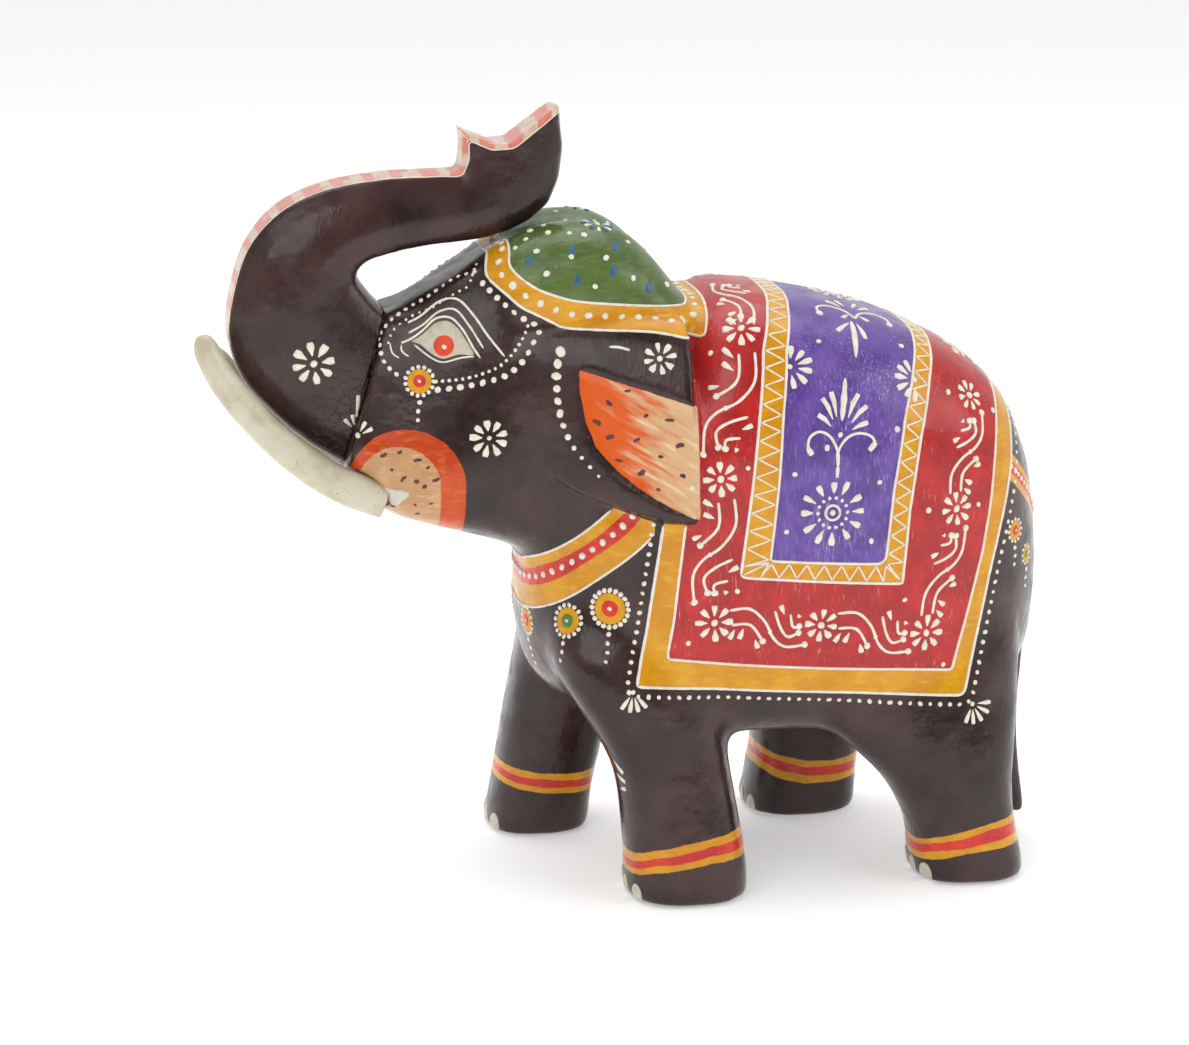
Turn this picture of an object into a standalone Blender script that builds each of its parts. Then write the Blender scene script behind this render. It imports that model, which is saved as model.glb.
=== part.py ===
"""Carved wooden elephant with a raised trunk, a painted figurine that stands on its four feet.

The head, torso, ears and legs are one carved block. The trunk is a second block, glued and dowelled to
the face. The tusks are pegged into the cheeks and the tail strip is let into the rump and pinned.

The elephant faces -X and stands on z = 0. Its left side is at -Y. All tables are in millimetres for
a figure 254 mm tall, and UNIT turns them into metres.
"""

import math

import bmesh
import bpy
from mathutils import Vector

HEIGHT = 0.254  # sole to trunk tip, in metres
UNIT = HEIGHT / 254

GAP = 0.35  # glue line, and clearance round a dowel
RING = 36  # corners of a body section
VOXEL = 2.4  # cell of the remesh that fuses the carved block's lofts
BLEND_STEPS = 16  # smoothing passes that round the creases between the lofts
SHARP_ANGLE = math.radians(35)
BLOCK_KEEP = 0.10  # share of the fused block's faces that are kept

# Torso: x, bottom z, top z, half width at its widest, section power above and below that.
TORSO = [
    (-36.4, 84, 100, 8, 2.0, 2.0),
    (-34.6, 73, 114, 19, 2.1, 2.1),
    (-30.0, 64, 128, 29, 2.3, 2.3),
    (-22.0, 58, 140, 37, 2.5, 2.6),
    (-12.0, 53, 154, 44, 2.6, 2.9),
    (3.0, 49, 172, 50, 2.5, 3.1),
    (15.0, 47.5, 183, 53.5, 2.4, 3.2),
    (22.5, 47, 194.5, 55, 2.3, 3.3),
    (34.0, 47, 196.2, 56.0, 2.3, 3.4),
    (58.0, 47, 192.2, 56.0, 2.3, 3.5),
    (79.0, 48, 187.0, 54.0, 2.3, 3.6),
    (100.0, 50, 177.8, 49.5, 2.3, 3.6),
    (114.0, 52, 168.8, 44.5, 2.2, 3.4),
    (124.0, 55, 158.0, 37.5, 2.2, 3.0),
    (131.6, 61, 143.0, 28.5, 2.1, 2.6),
    (136.0, 70, 127.0, 19, 2.0, 2.2),
    (137.6, 84, 111.0, 8, 2.0, 2.0),
]

# Head and neck: x, bottom z, top z, half width, how much the top narrows, section powers.
HEAD = [
    (-104.0, 150, 182, 15.0, 0.0, 3.0, 3.0),
    (-95.0, 140.5, 187, 19.0, -0.16, 3.0, 3.8),
    (-88.0, 131, 191, 22.5, -0.28, 3.0, 4.4),
    (-81.0, 125.5, 193.6, 25.5, -0.32, 3.0, 4.4),
    (-74.0, 122.8, 193.8, 27.8, -0.32, 3.0, 4.2),
    (-68.5, 121.0, 196.4, 29.0, -0.30, 3.0, 3.9),
    (-63.0, 119.4, 200.4, 30.2, -0.27, 3.0, 3.6),
    (-57.0, 117.2, 205.2, 31.5, -0.23, 3.0, 3.3),
    (-50.0, 114.8, 208.8, 32.6, -0.20, 3.0, 3.0),
    (-38.0, 110.5, 209.5, 34.5, -0.14, 2.9, 2.8),
    (-22.0, 106, 206.0, 38.0, -0.08, 2.7, 2.6),
    (-6.0, 104, 201.0, 42.0, -0.08, 2.6, 2.5),
    (10.0, 104, 193.0, 46.0, -0.10, 2.5, 2.4),
    (22.0, 108, 186.0, 46.0, -0.12, 2.4, 2.4),
]

# One lobe of the double dome: x, top z, half width.
DOME_Y = 14.5
DOME_FLOOR = 176
DOME = [
    (-49.0, 203.0, 8),
    (-45.0, 209.5, 13),
    (-38.0, 214.8, 16.5),
    (-30.0, 217.6, 18.5),
    (-21.0, 218.8, 19.5),
    (-11.0, 218.2, 20.0),
    (-3.0, 214.8, 19.5),
    (4.0, 208.8, 18.5),
    (11.0, 200.2, 17.0),
    (18.0, 191.0, 14.5),
    (22.5, 183.0, 10.0),
]

# Legs: z, front x, back x, centre y, half width. The left pair stands back and the right pair forward.
LEG_POWER = 2.7  # of their superellipse sections
LEGS = {
    "front_left": [
        (-8, -7.4, 34.6, -39.8, 20.6),
        (12, -7.0, 33.0, -39.0, 19.8),
        (34, -8.6, 29.6, -37.0, 18.6),
        (48, -12.8, 27.2, -35.0, 18.6),
        (62, -21.2, 26.4, -33.0, 19.6),
        (78, -30.0, 28.0, -29.0, 20.6),
        (96, -28.0, 32.0, -22.0, 19.0),
        (112, -20.0, 34.0, -16.0, 15.0),
    ],
    "front_right": [
        (-8, -44.2, -6.6, 37.0, 19.5),
        (10, -41.0, -5.6, 36.5, 18.8),
        (28, -38.0, -1.8, 36.0, 18.0),
        (48, -34.6, 3.4, 35.0, 18.5),
        (66, -31.6, 9.0, 33.0, 19.6),
        (82, -30.0, 14.0, 29.0, 20.4),
        (98, -28.0, 20.0, 22.0, 19.0),
        (112, -20.0, 26.0, 16.0, 15.0),
    ],
    "hind_left": [
        (-8, 90.8, 128.8, -36.2, 19.2),
        (4, 90.2, 128.2, -36.2, 18.8),
        (16, 89.2, 125.6, -36.2, 18.4),
        (27, 84.6, 124.0, -36.0, 18.4),
        (37, 77.4, 124.2, -35.5, 19.0),
        (46, 68.0, 125.2, -34.0, 19.8),
        (58, 56.0, 126.6, -31.0, 20.8),
        (80, 56.0, 127.6, -26.0, 22.0),
        (104, 62.0, 127.0, -20.0, 22.0),
    ],
    "hind_right": [
        (-8, 48.0, 89.6, 41.0, 19.2),
        (14, 51.4, 90.4, 40.0, 18.4),
        (28, 53.0, 92.0, 38.5, 18.2),
        (40, 50.4, 98.6, 37.0, 18.8),
        (50, 45.0, 108.0, 35.0, 19.8),
        (62, 45.0, 119.0, 31.0, 21.0),
        (84, 54.0, 126.0, 26.0, 22.0),
        (104, 64.0, 127.0, 20.0, 22.0),
    ],
}

# Left ear: z, front x, front y, rear y. The rear edge stands proud of the flank.
EAR_REAR_X = 13.4
EAR_INNER_Y = -22
EAR_ROOT_INSET = 2.0  # the ear is this much narrower where it runs into the head
EAR_BULGE = 1.2
EAR_FACE_CORNERS = 6
EAR = [
    (189.4, -18, -31.0, -37.5),
    (187.0, -30, -31.0, -41.5),
    (181.0, -38, -32.0, -46.5),
    (166.0, -41, -33.5, -52.0),
    (151.0, -38, -35.5, -55.0),
    (141.0, -31, -39.0, -56.2),
    (134.0, -19, -44.5, -56.6),
    (129.0, -3, -50.5, -56.6),
    (126.6, 6, -53.0, -56.2),
]
# Left edge of the dished inner skin of the ear: z, x. The dish runs out through the rear edge.
EAR_DISH = [
    (174.6, -21.6),
    (167.3, -21.4),
    (158.7, -20.2),
    (150.4, -16.8),
    (143.3, -11.2),
    (137.2, -3.0),
    (131.5, 6.6),
]
EAR_DISH_TOP_SLOPE = -0.31  # fall of the dish's top edge towards the rear
DISH_DEPTH = 2.0
DISH_OVERRUN = 4.0  # how far its cutter runs past the ear's rear edge
DISH_CUTTER_Y = 70.0  # how far out its cutter reaches

# Profile of the flat forehead between its two crisp edges, x, z. It runs out under the front of the dome.
FOREHEAD = [
    (-100.0, 190.0),
    (-79.7, 190.0),
    (-78.0, 190.2),
    (-74.0, 192.4),
    (-69.7, 194.6),
    (-63.2, 198.1),
    (-57.4, 201.3),
    (-52.1, 204.8),
    (-46.0, 208.8),
    (-40.0, 213.8),
]

# Glue plane between the trunk and the face: its upper and lower ends, x, z.
SEAM_TOP = (-78.3, 194.4)
SEAM_BOTTOM = (-94.0, 140.4)

# Trunk: outer x, z, inner x, z, half width, half width of its outer face. First the arch, then the tip.
TRUNK_ARCH = [
    (-93.8, 141.2, -79.75, 190.0, 17.8, 11.6),
    (-105.6, 148.6, -82.4, 193.3, 18.0, 10.4),
    (-116.4, 158.4, -84.9, 196.6, 18.0, 9.6),
    (-125.2, 169.4, -86.7, 199.0, 18.0, 9.2),
    (-129.2, 182.6, -87.8, 201.2, 17.8, 9.0),
    (-127.4, 197.0, -87.4, 203.2, 17.6, 9.0),
    (-122.2, 211.4, -85.8, 204.9, 17.2, 9.0),
    (-113.4, 221.6, -82.6, 206.5, 16.6, 9.0),
    (-102.6, 227.6, -77.8, 207.8, 15.8, 9.0),
    (-90.0, 230.8, -72.0, 208.9, 14.8, 9.0),
    (-77.4, 232.4, -64.8, 209.8, 13.6, 8.8),
    (-65.4, 233.0, -56.6, 210.5, 12.4, 8.4),
    (-54.4, 233.4, -46.4, 211.6, 11.2, 8.0),
]
TRUNK_TIP = [
    (-53.8, 236.6, -39.0, 213.6, 10.8, 8.0),
    (-53.4, 240.0, -32.0, 216.8, 10.4, 8.0),
    (-53.4, 243.4, -25.4, 222.2, 10.2, 8.0),
    (-54.0, 247.0, -22.0, 229.8, 10.0, 8.0),
    (-55.0, 251.0, -20.8, 239.6, 9.8, 8.0),
    (-57.0, 260.0, -22.6, 262.0, 9.6, 8.0),
]
# Line of the notched nostril end, x, z.
TRUNK_MOUTH = [
    (-60.0, 248.4),
    (-54.0, 246.8),
    (-44.0, 242.4),
    (-38.0, 242.8),
    (-24.0, 253.4),
    (-15.0, 255.0),
]
# Half of a trunk section: distance from the outer face as a share of the depth, how far the width has
# grown from that of the face to the full one, share of that width.
TRUNK_SECTION = [
    (0.0, 0.0, 0.0),
    (0.0, 0.0, 0.5),
    (0.0, 0.0, 0.94),
    (0.02, 0.06, 1.0),
    (0.20, 0.58, 1.0),
    (0.42, 0.90, 1.0),
    (0.62, 1.0, 1.0),
    (0.84, 1.0, 0.93),
    (0.96, 1.0, 0.80),
    (0.995, 1.0, 0.46),
]

# Left tusk centreline: x, y, z, radius, from the root to the tip.
TUSK = [
    (-81.6, -22.6, 131.0, 5.9),
    (-92.2, -21.6, 134.9, 5.8),
    (-104.0, -18.6, 141.2, 5.6),
    (-118.8, -15.6, 154.0, 5.2),
    (-130.8, -14.6, 169.0, 4.9),
    (-135.9, -14.2, 178.6, 4.3),
    (-137.2, -14.0, 182.6, 3.3),
    (-137.7, -14.0, 184.6, 1.8),
]
TUSK_SIDES = 20
# The right tusk is cut shorter: it ends part of the way to this row, then rounds off to its tip.
RIGHT_TUSK_ROWS = 6
RIGHT_TUSK_LAST_SHARE = 0.42
RIGHT_TUSK_TIP = (-0.7, 0.0, 1.5)
RIGHT_TUSK_RADII = (3.9, 2.2)

TAIL_POWER, TAIL_SIDES = 2.6, 16  # of the tail's superellipse sections
# Tail strip: z, outer x, inner x, half width.
TAIL = [
    (124, 136.4, 130.4, 2.4),
    (117, 138.8, 130.6, 3.6),
    (104, 140.2, 131.0, 4.0),
    (84, 139.4, 130.4, 4.0),
    (64, 138.2, 130.4, 3.8),
    (46, 137.2, 130.8, 3.6),
    (31, 137.4, 131.0, 3.8),
    (18, 139.0, 132.0, 4.8),
    (10.4, 139.9, 133.2, 5.2),
    (7.2, 139.7, 135.4, 4.4),
]

TRUNK_DOWEL_RADIUS, TRUNK_DOWEL_HALF = 3.0, 14.0
# Where the dowels sit, as a share of the way down the seam.
TRUNK_DOWEL_PLACES = {"trunk_dowel_upper": 0.30, "trunk_dowel_lower": 0.68}
TUSK_PEG_RADIUS = 2.0
DOWEL_SIDES, PEG_SIDES, PIN_SIDES = 24, 16, 12
DOWEL_CHAMFER = 0.2  # of a dowel's, peg's or pin's end edge, as a share of its radius
TUSK_PEG_ENDS = ((-91.4, -21.7, 134.2), (-70.6, -21.0, 129.4))  # of the left peg, x, y, z
TAIL_PIN_RADIUS, TAIL_PIN_Z, TAIL_PIN_INNER, TAIL_PIN_OUTER = 1.2, 98.0, 119.0, 138.6

# Cutters: how far the glue plane's slab reaches down its plane, across it and in front of it, and the
# slab under the soles.
SEAM_SLAB_UP, SEAM_SLAB_DOWN, SEAM_SLAB_HALF, SEAM_SLAB_DEPTH = -40.0, 60.0, 60.0, 90.0
FLOOR_SLAB_X, FLOOR_SLAB_HALF, FLOOR_SLAB_DEPTH = (-80.0, 170.0), 90.0, 20.0
ABOVE = 275.0  # a height over the whole figure
MOUTH_SLAB_HALF, FOREHEAD_SLAB_HALF = 20.0, 40.0

PAINT_BLACK = (0.055, 0.040, 0.036)
IVORY_PAINT = (0.62, 0.58, 0.46)
BARE_WOOD = (0.60, 0.42, 0.25)


def clear_scene():
    for obj in list(bpy.data.objects):
        bpy.data.objects.remove(obj)


def material(name, colour, roughness):
    made = bpy.data.materials.new(name)
    made.use_nodes = True
    shader = made.node_tree.nodes["Principled BSDF"]
    shader.inputs["Base Color"].default_value = (*colour, 1)
    shader.inputs["Roughness"].default_value = roughness
    made.diffuse_color = (*colour, 1)
    return made


def point(x, y, z):
    return Vector((x, y, z)) * UNIT


def resample(rows, steps):
    """Rows on one smooth curve through the given rows, with this many steps between each two."""
    made = []
    for i in range(len(rows) - 1):
        before, a, b = rows[max(i - 1, 0)], rows[i], rows[i + 1]
        after = rows[min(i + 2, len(rows) - 1)]
        for k in range(steps):
            t = k / steps
            row = []
            for p, q, r, s in zip(before, a, b, after):
                bend = (2 * p - 5 * q + 4 * r - s) * t**2 + (3 * q - p - 3 * r + s) * t**3
                row.append(0.5 * (2 * q + (r - p) * t + bend))
            made.append(tuple(row))
    made.append(tuple(rows[-1]))
    return made


def oval(power, taper=0.0, corners=RING, low_power=None):
    """Corners of a unit superellipse as (along, across); taper makes its top wider or narrower."""
    made = []
    for i in range(corners):
        angle = 2 * math.pi * i / corners
        c, s = math.cos(angle), math.sin(angle)
        if low_power and c < 0:
            power = low_power
        along = math.copysign(abs(c) ** (2 / power), c)
        across = math.copysign(abs(s) ** (2 / power), s)
        made.append((along, across * (1 + taper * along)))
    return made


def loft(name, rings, collection, paint=None):
    """A closed skin through rings of equal corner count, with a flat cap at each end."""
    bm = bmesh.new()
    made = [[bm.verts.new(corner) for corner in ring] for ring in rings]
    count = len(rings[0])
    for first, second in zip(made, made[1:]):
        for i in range(count):
            j = (i + 1) % count
            bm.faces.new((first[i], first[j], second[j], second[i]))
    bm.faces.new(made[0])
    bm.faces.new(made[-1])
    bmesh.ops.recalc_face_normals(bm, faces=bm.faces)
    bmesh.ops.triangulate(bm, faces=bm.faces)  # twisted quads upset the Booleans
    mesh = bpy.data.meshes.new(name)
    bm.to_mesh(mesh)
    bm.free()
    mesh.shade_smooth()
    mesh.set_sharp_from_angle(angle=SHARP_ANGLE)
    obj = bpy.data.objects.new(name, mesh)
    collection.objects.link(obj)
    if paint:
        mesh.materials.append(paint)
    return obj


def helper(obj):
    obj.hide_render = True
    obj.display_type = "WIRE"
    return obj


def boolean(obj, operation, other):
    modifier = obj.modifiers.new(f"{operation.lower()} {other.name}", "BOOLEAN")
    modifier.operation = operation
    modifier.object = helper(other)
    modifier.solver = "EXACT"


def cylinder(name, radius, start, end, collection, paint=None, sides=DOWEL_SIDES):
    """A straight round bar between two points."""
    axis = end - start
    bpy.ops.mesh.primitive_cylinder_add(
        vertices=sides, radius=radius * UNIT, depth=axis.length, location=(start + end) / 2
    )
    obj = bpy.context.object
    obj.name = name
    obj.rotation_euler = axis.to_track_quat("Z", "Y").to_euler()
    for old in list(obj.users_collection):
        old.objects.unlink(obj)
    collection.objects.link(obj)
    if paint:
        obj.data.materials.append(paint)
        bevel = obj.modifiers.new("chamfered ends", "BEVEL")
        bevel.width = radius * DOWEL_CHAMFER * UNIT
        bevel.segments = 1
        bevel.limit_method = "ANGLE"
    return obj


def upright_sections(rows):
    """Rings across X from rows of x, bottom z, top z, half width, top taper, two powers, centre y."""
    for x, bottom, top, half_width, taper, power, low_power, y in rows:
        middle, half_height = (bottom + top) / 2, (top - bottom) / 2
        yield [
            point(x, y + half_width * across, middle + half_height * along)
            for along, across in oval(power, taper, RING, low_power)
        ]


def torso(cutters):
    rows = [(x, bottom, top, wide, 0.0, *powers, 0.0) for x, bottom, top, wide, *powers in TORSO]
    return loft("torso", list(upright_sections(resample(rows, 4))), cutters)


def head(cutters):
    return loft("head", list(upright_sections(resample([(*row, 0.0) for row in HEAD], 3))), cutters)


def dome_lobe(side, cutters):
    rows = [(x, DOME_FLOOR, top, wide, 0.0, 2.0, 2.0, side * DOME_Y) for x, top, wide in DOME]
    return loft(f"dome_{side}", list(upright_sections(resample(rows, 3))), cutters)


def leg(name, rows, cutters):
    rings = []
    for z, front, back, y, wide in resample(rows, 3):
        middle, deep = (front + back) / 2, (back - front) / 2
        shape = oval(LEG_POWER)
        rings.append([point(middle + deep * along, y + wide * across, z) for along, across in shape])
    return loft(name, rings, cutters)


def evenly(first, last, count):
    return [first + (last - first) * i / (count - 1) for i in range(count)]


def ear_row(z):
    """The ear's front x, front y and rear y at one height."""
    rows = sorted(resample(EAR, 3))
    for low, high in zip(rows, rows[1:]):
        if z <= high[0]:
            t = max(0.0, (z - low[0]) / (high[0] - low[0]))
            return tuple(a + (b - a) * t for a, b in zip(low[1:], high[1:]))
    return rows[-1][1:]


def ear_face(x, z):
    """The y of the left ear's outer face."""
    front_x, front_y, rear_y = ear_row(z)
    t = (x - front_x) / (EAR_REAR_X - front_x)
    return front_y + (rear_y - front_y) * t - EAR_BULGE * math.sin(math.pi * min(max(t, 0.0), 1.0))


def ear_sections(side):
    """Level rings of an ear: six corners along its outer face, then two inside the head."""
    for z, front_x, _, _ in resample(EAR, 3):
        ring = [(x, ear_face(x, z)) for x in evenly(front_x, EAR_REAR_X, EAR_FACE_CORNERS)]
        ring += [(EAR_REAR_X - EAR_ROOT_INSET, EAR_INNER_Y), (front_x + EAR_ROOT_INSET, EAR_INNER_Y)]
        yield [point(x, -side * y, z) for x, y in ring]


def ear_dish(side, cutters):
    """The cutter that sinks the ear's inner skin below its rim."""
    top, bottom = EAR_DISH[0][0], EAR_DISH[-1][0]
    far = side * DISH_CUTTER_Y * UNIT
    rings = []
    for z, left in EAR_DISH:
        slope = EAR_DISH_TOP_SLOPE * (z - bottom) / (top - bottom)
        ring = []
        for x in evenly(left, EAR_REAR_X + DISH_OVERRUN, EAR_FACE_CORNERS):
            level = z + slope * (x - left)
            ring.append(point(x, -side * (ear_face(x, level) + DISH_DEPTH), level))
        ring += [Vector((corner.x, far, corner.z)) for corner in (ring[-1], ring[0])]
        rings.append(ring)
    return loft(f"ear_dish_{side}", rings, cutters)


def seam_frame():
    """The glue plane's top, its direction down the seam and its normal towards the trunk."""
    top, bottom = point(SEAM_TOP[0], 0, SEAM_TOP[1]), point(SEAM_BOTTOM[0], 0, SEAM_BOTTOM[1])
    down = (bottom - top).normalized()
    return top, bottom, Vector((down.z, 0, -down.x))


def seam_cutter(cutters):
    """A slab in front of the glue plane, which takes the trunk's room off the carved block."""
    top, bottom, normal = seam_frame()
    down = (bottom - top).normalized()
    side = Vector((0, 1, 0))
    rings = []
    half = SEAM_SLAB_HALF
    corners = [(SEAM_SLAB_UP, -half), (SEAM_SLAB_UP, half), (SEAM_SLAB_DOWN, half), (SEAM_SLAB_DOWN, -half)]
    for depth in (0.0, SEAM_SLAB_DEPTH):
        rings.append([top + (down * a + side * b + normal * depth) * UNIT for a, b in corners])
    return loft("seam_cutter", rings, cutters)


def floor_cutter(cutters):
    """A slab under z = 0, which planes the four soles level."""
    front, back = FLOOR_SLAB_X
    half = FLOOR_SLAB_HALF
    corners = [(front, -half), (front, half), (back, half), (back, -half)]
    rings = [[point(x, y, z) for x, y in corners] for z in (-FLOOR_SLAB_DEPTH, 0)]
    return loft("floor_cutter", rings, cutters)


def profile_cutter(name, outline, half_width, cutters):
    """A slab with this x, z outline, across the figure's middle."""
    rings = [[point(x, y, z) for x, z in outline] for y in (-half_width, half_width)]
    return loft(name, rings, cutters)


def forehead_cutter(cutters):
    """Everything above the forehead's profile, which planes it flat."""
    outline = [*FOREHEAD, (FOREHEAD[-1][0], ABOVE), (FOREHEAD[0][0], ABOVE)]
    return profile_cutter("forehead_cutter", outline, FOREHEAD_SLAB_HALF, cutters)


def trunk_rings(extra=0.0):
    """Rings of the trunk; extra widens each section all round, for the seat cut in the dome."""
    rows = resample(TRUNK_ARCH, 4) + TRUNK_TIP
    for outer_x, outer_z, inner_x, inner_z, wide, face in rows:
        outer, inner = Vector((outer_x, outer_z)), Vector((inner_x, inner_z))
        across = (inner - outer).normalized()
        outer -= across * extra
        inner += across * extra
        half = [
            (outer.lerp(inner, depth), share * (face + (wide - face) * growth + extra))
            for depth, growth, share in TRUNK_SECTION
        ]
        right = [point(p.x, y, p.y) for p, y in half]
        left = [point(p.x, -y, p.y) for p, y in half[1:]]
        yield [*right, point(inner.x, 0, inner.y), *reversed(left)]


def trunk_mouth_cutter(cutters):
    """Everything beyond the notched line of the nostril end."""
    outline = [*TRUNK_MOUTH, (TRUNK_MOUTH[-1][0], ABOVE), (TRUNK_MOUTH[0][0], ABOVE)]
    return profile_cutter("trunk_mouth_cutter", outline, MOUTH_SLAB_HALF, cutters)


def tusk_rows(side):
    rows = TUSK
    if side > 0:
        last, cut_off = (Vector(TUSK[i][:3]) for i in (RIGHT_TUSK_ROWS - 2, RIGHT_TUSK_ROWS - 1))
        end = last.lerp(cut_off, RIGHT_TUSK_LAST_SHARE)
        tip = end + Vector(RIGHT_TUSK_TIP)
        rows = [*TUSK[: RIGHT_TUSK_ROWS - 1], (*end, RIGHT_TUSK_RADII[0]), (*tip, RIGHT_TUSK_RADII[1])]
    return [(x, -side * y, z, radius) for x, y, z, radius in rows]


def tusk_rings(side, extra=0.0):
    rows = resample(tusk_rows(side), 3)
    for i, (x, y, z, radius) in enumerate(rows):
        before, after = rows[max(i - 1, 0)], rows[min(i + 1, len(rows) - 1)]
        along = (Vector(after[:3]) - Vector(before[:3])).normalized()
        across = along.cross(Vector((0, 1, 0))).normalized()
        other = along.cross(across)
        centre = Vector((x, y, z))
        yield [
            (centre + (across * math.cos(a) + other * math.sin(a)) * (radius + extra)) * UNIT
            for a in (2 * math.pi * k / TUSK_SIDES for k in range(TUSK_SIDES))
        ]


def tail_rings(extra=0.0):
    rows = resample(TAIL, 2)
    rows[0] = (rows[0][0] + extra, *rows[0][1:])
    for z, outer, inner, wide in rows:
        middle, deep = (outer + inner) / 2, (outer - inner) / 2 + extra
        shape = oval(TAIL_POWER, 0.0, TAIL_SIDES)
        yield [point(middle + deep * along, (wide + extra) * across, z) for along, across in shape]


def join(name, objects):
    """One object that holds all these meshes, each where it is."""
    bm = bmesh.new()
    for obj in objects:
        bm.from_mesh(obj.data)
        bpy.data.objects.remove(obj)
    mesh = bpy.data.meshes.new(name)
    bm.to_mesh(mesh)
    bm.free()
    return bpy.data.objects.new(name, mesh)


def carved_block(figure, cutters, paint):
    """Head, torso, ears and legs, fused and smoothed as one carving."""
    lofts = [torso(cutters), head(cutters), dome_lobe(-1, cutters), dome_lobe(1, cutters)]
    lofts += [leg(name, rows, cutters) for name, rows in LEGS.items()]
    block = join("body_block", lofts)
    figure.objects.link(block)
    block.data.materials.append(paint)
    fuse = block.modifiers.new("fuse", "REMESH")
    fuse.mode = "VOXEL"
    fuse.voxel_size = VOXEL * UNIT
    blend = block.modifiers.new("blend", "SMOOTH")
    blend.factor = 0.5
    blend.iterations = BLEND_STEPS
    thin = block.modifiers.new("thin", "DECIMATE")
    thin.ratio = BLOCK_KEEP
    for side in (-1, 1):
        boolean(block, "UNION", loft(f"ear_{side}", list(ear_sections(side)), cutters))
        boolean(block, "DIFFERENCE", ear_dish(side, cutters))
        boolean(block, "DIFFERENCE", loft(f"tusk_seat_{side}", list(tusk_rings(side, GAP)), cutters))
    boolean(block, "DIFFERENCE", floor_cutter(cutters))
    boolean(block, "DIFFERENCE", forehead_cutter(cutters))
    boolean(block, "DIFFERENCE", seam_cutter(cutters))
    boolean(block, "DIFFERENCE", loft("trunk_seat", list(trunk_rings(GAP)), cutters))
    boolean(block, "DIFFERENCE", loft("tail_groove", list(tail_rings(GAP)), cutters))
    return block


def trunk(figure, cutters, paint):
    obj = loft("trunk", list(trunk_rings()), figure, paint)
    boolean(obj, "DIFFERENCE", trunk_mouth_cutter(cutters))
    return obj


def trunk_dowels(figure, cutters, block, trunk_block, wood):
    """Two dowels square to the glue plane, half in the face and half in the trunk."""
    top, bottom, normal = seam_frame()
    for name, share in TRUNK_DOWEL_PLACES.items():
        centre = top.lerp(bottom, share)
        reach = normal * (TRUNK_DOWEL_HALF * UNIT)
        cylinder(name, TRUNK_DOWEL_RADIUS, centre - reach, centre + reach, figure, wood)
        clear = normal * ((TRUNK_DOWEL_HALF + GAP) * UNIT)
        hole = cylinder(f"{name}_hole", TRUNK_DOWEL_RADIUS + GAP, centre - clear, centre + clear, cutters)
        boolean(block, "DIFFERENCE", hole)
        boolean(trunk_block, "DIFFERENCE", hole)


def tusk_and_peg(side, figure, cutters, block, ivory, wood):
    word = "left" if side < 0 else "right"
    obj = loft(f"tusk_{word}", list(tusk_rings(side)), figure, ivory)
    start, end = (point(x, -side * y, z) for x, y, z in TUSK_PEG_ENDS)
    cylinder(f"tusk_peg_{word}", TUSK_PEG_RADIUS, start, end, figure, wood, PEG_SIDES)
    clear = (end - start).normalized() * (GAP * UNIT)
    start, end = start - clear, end + clear
    hole = cylinder(f"tusk_peg_{word}_hole", TUSK_PEG_RADIUS + GAP, start, end, cutters, None, PEG_SIDES)
    boolean(block, "DIFFERENCE", hole)
    boolean(obj, "DIFFERENCE", hole)


def tail_and_pin(figure, cutters, block, paint, wood):
    obj = loft("tail", list(tail_rings()), figure, paint)
    inner, outer = point(TAIL_PIN_INNER, 0, TAIL_PIN_Z), point(TAIL_PIN_OUTER, 0, TAIL_PIN_Z)
    cylinder("tail_pin", TAIL_PIN_RADIUS, inner, outer, figure, wood, PIN_SIDES)
    clear = Vector((GAP * UNIT, 0, 0))
    inner, outer = inner - clear, outer + clear
    hole = cylinder("tail_pin_hole", TAIL_PIN_RADIUS + GAP, inner, outer, cutters, None, PIN_SIDES)
    boolean(block, "DIFFERENCE", hole)
    boolean(obj, "DIFFERENCE", hole)


def main():
    clear_scene()
    figure = bpy.data.collections.new("carved_elephant")
    cutters = bpy.data.collections.new("cutters")
    for collection in (figure, cutters):
        bpy.context.scene.collection.children.link(collection)
    black = material("black_paint", PAINT_BLACK, 0.22)
    ivory = material("ivory_paint", IVORY_PAINT, 0.35)
    wood = material("bare_wood", BARE_WOOD, 0.7)
    block = carved_block(figure, cutters, black)
    trunk_block = trunk(figure, cutters, black)
    trunk_dowels(figure, cutters, block, trunk_block, wood)
    for side in (-1, 1):
        tusk_and_peg(side, figure, cutters, block, ivory, wood)
    tail_and_pin(figure, cutters, block, black, wood)
    stand = bpy.data.objects.new("elephant", None)
    figure.objects.link(stand)
    for obj in figure.objects:
        if obj != stand:
            obj.parent = stand


main()
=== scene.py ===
"""Looks of a carved wooden elephant: its hand-carved surface, the paint on it and the raised paint on that.

The elephant faces -X and its left side is at -Y. Lengths are in millimetres, and are turned into metres when
a mesh is written. Regions of paint are outlines in the side view (x, z), used on both sides: each vertex
stores how far it lies inside a region, and the paint material draws the region's edge there.
"""

import math
import random
from collections import namedtuple

import bmesh
import bpy
import numpy as np
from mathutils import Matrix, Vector, noise
from mathutils.bvhtree import BVHTree


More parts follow.
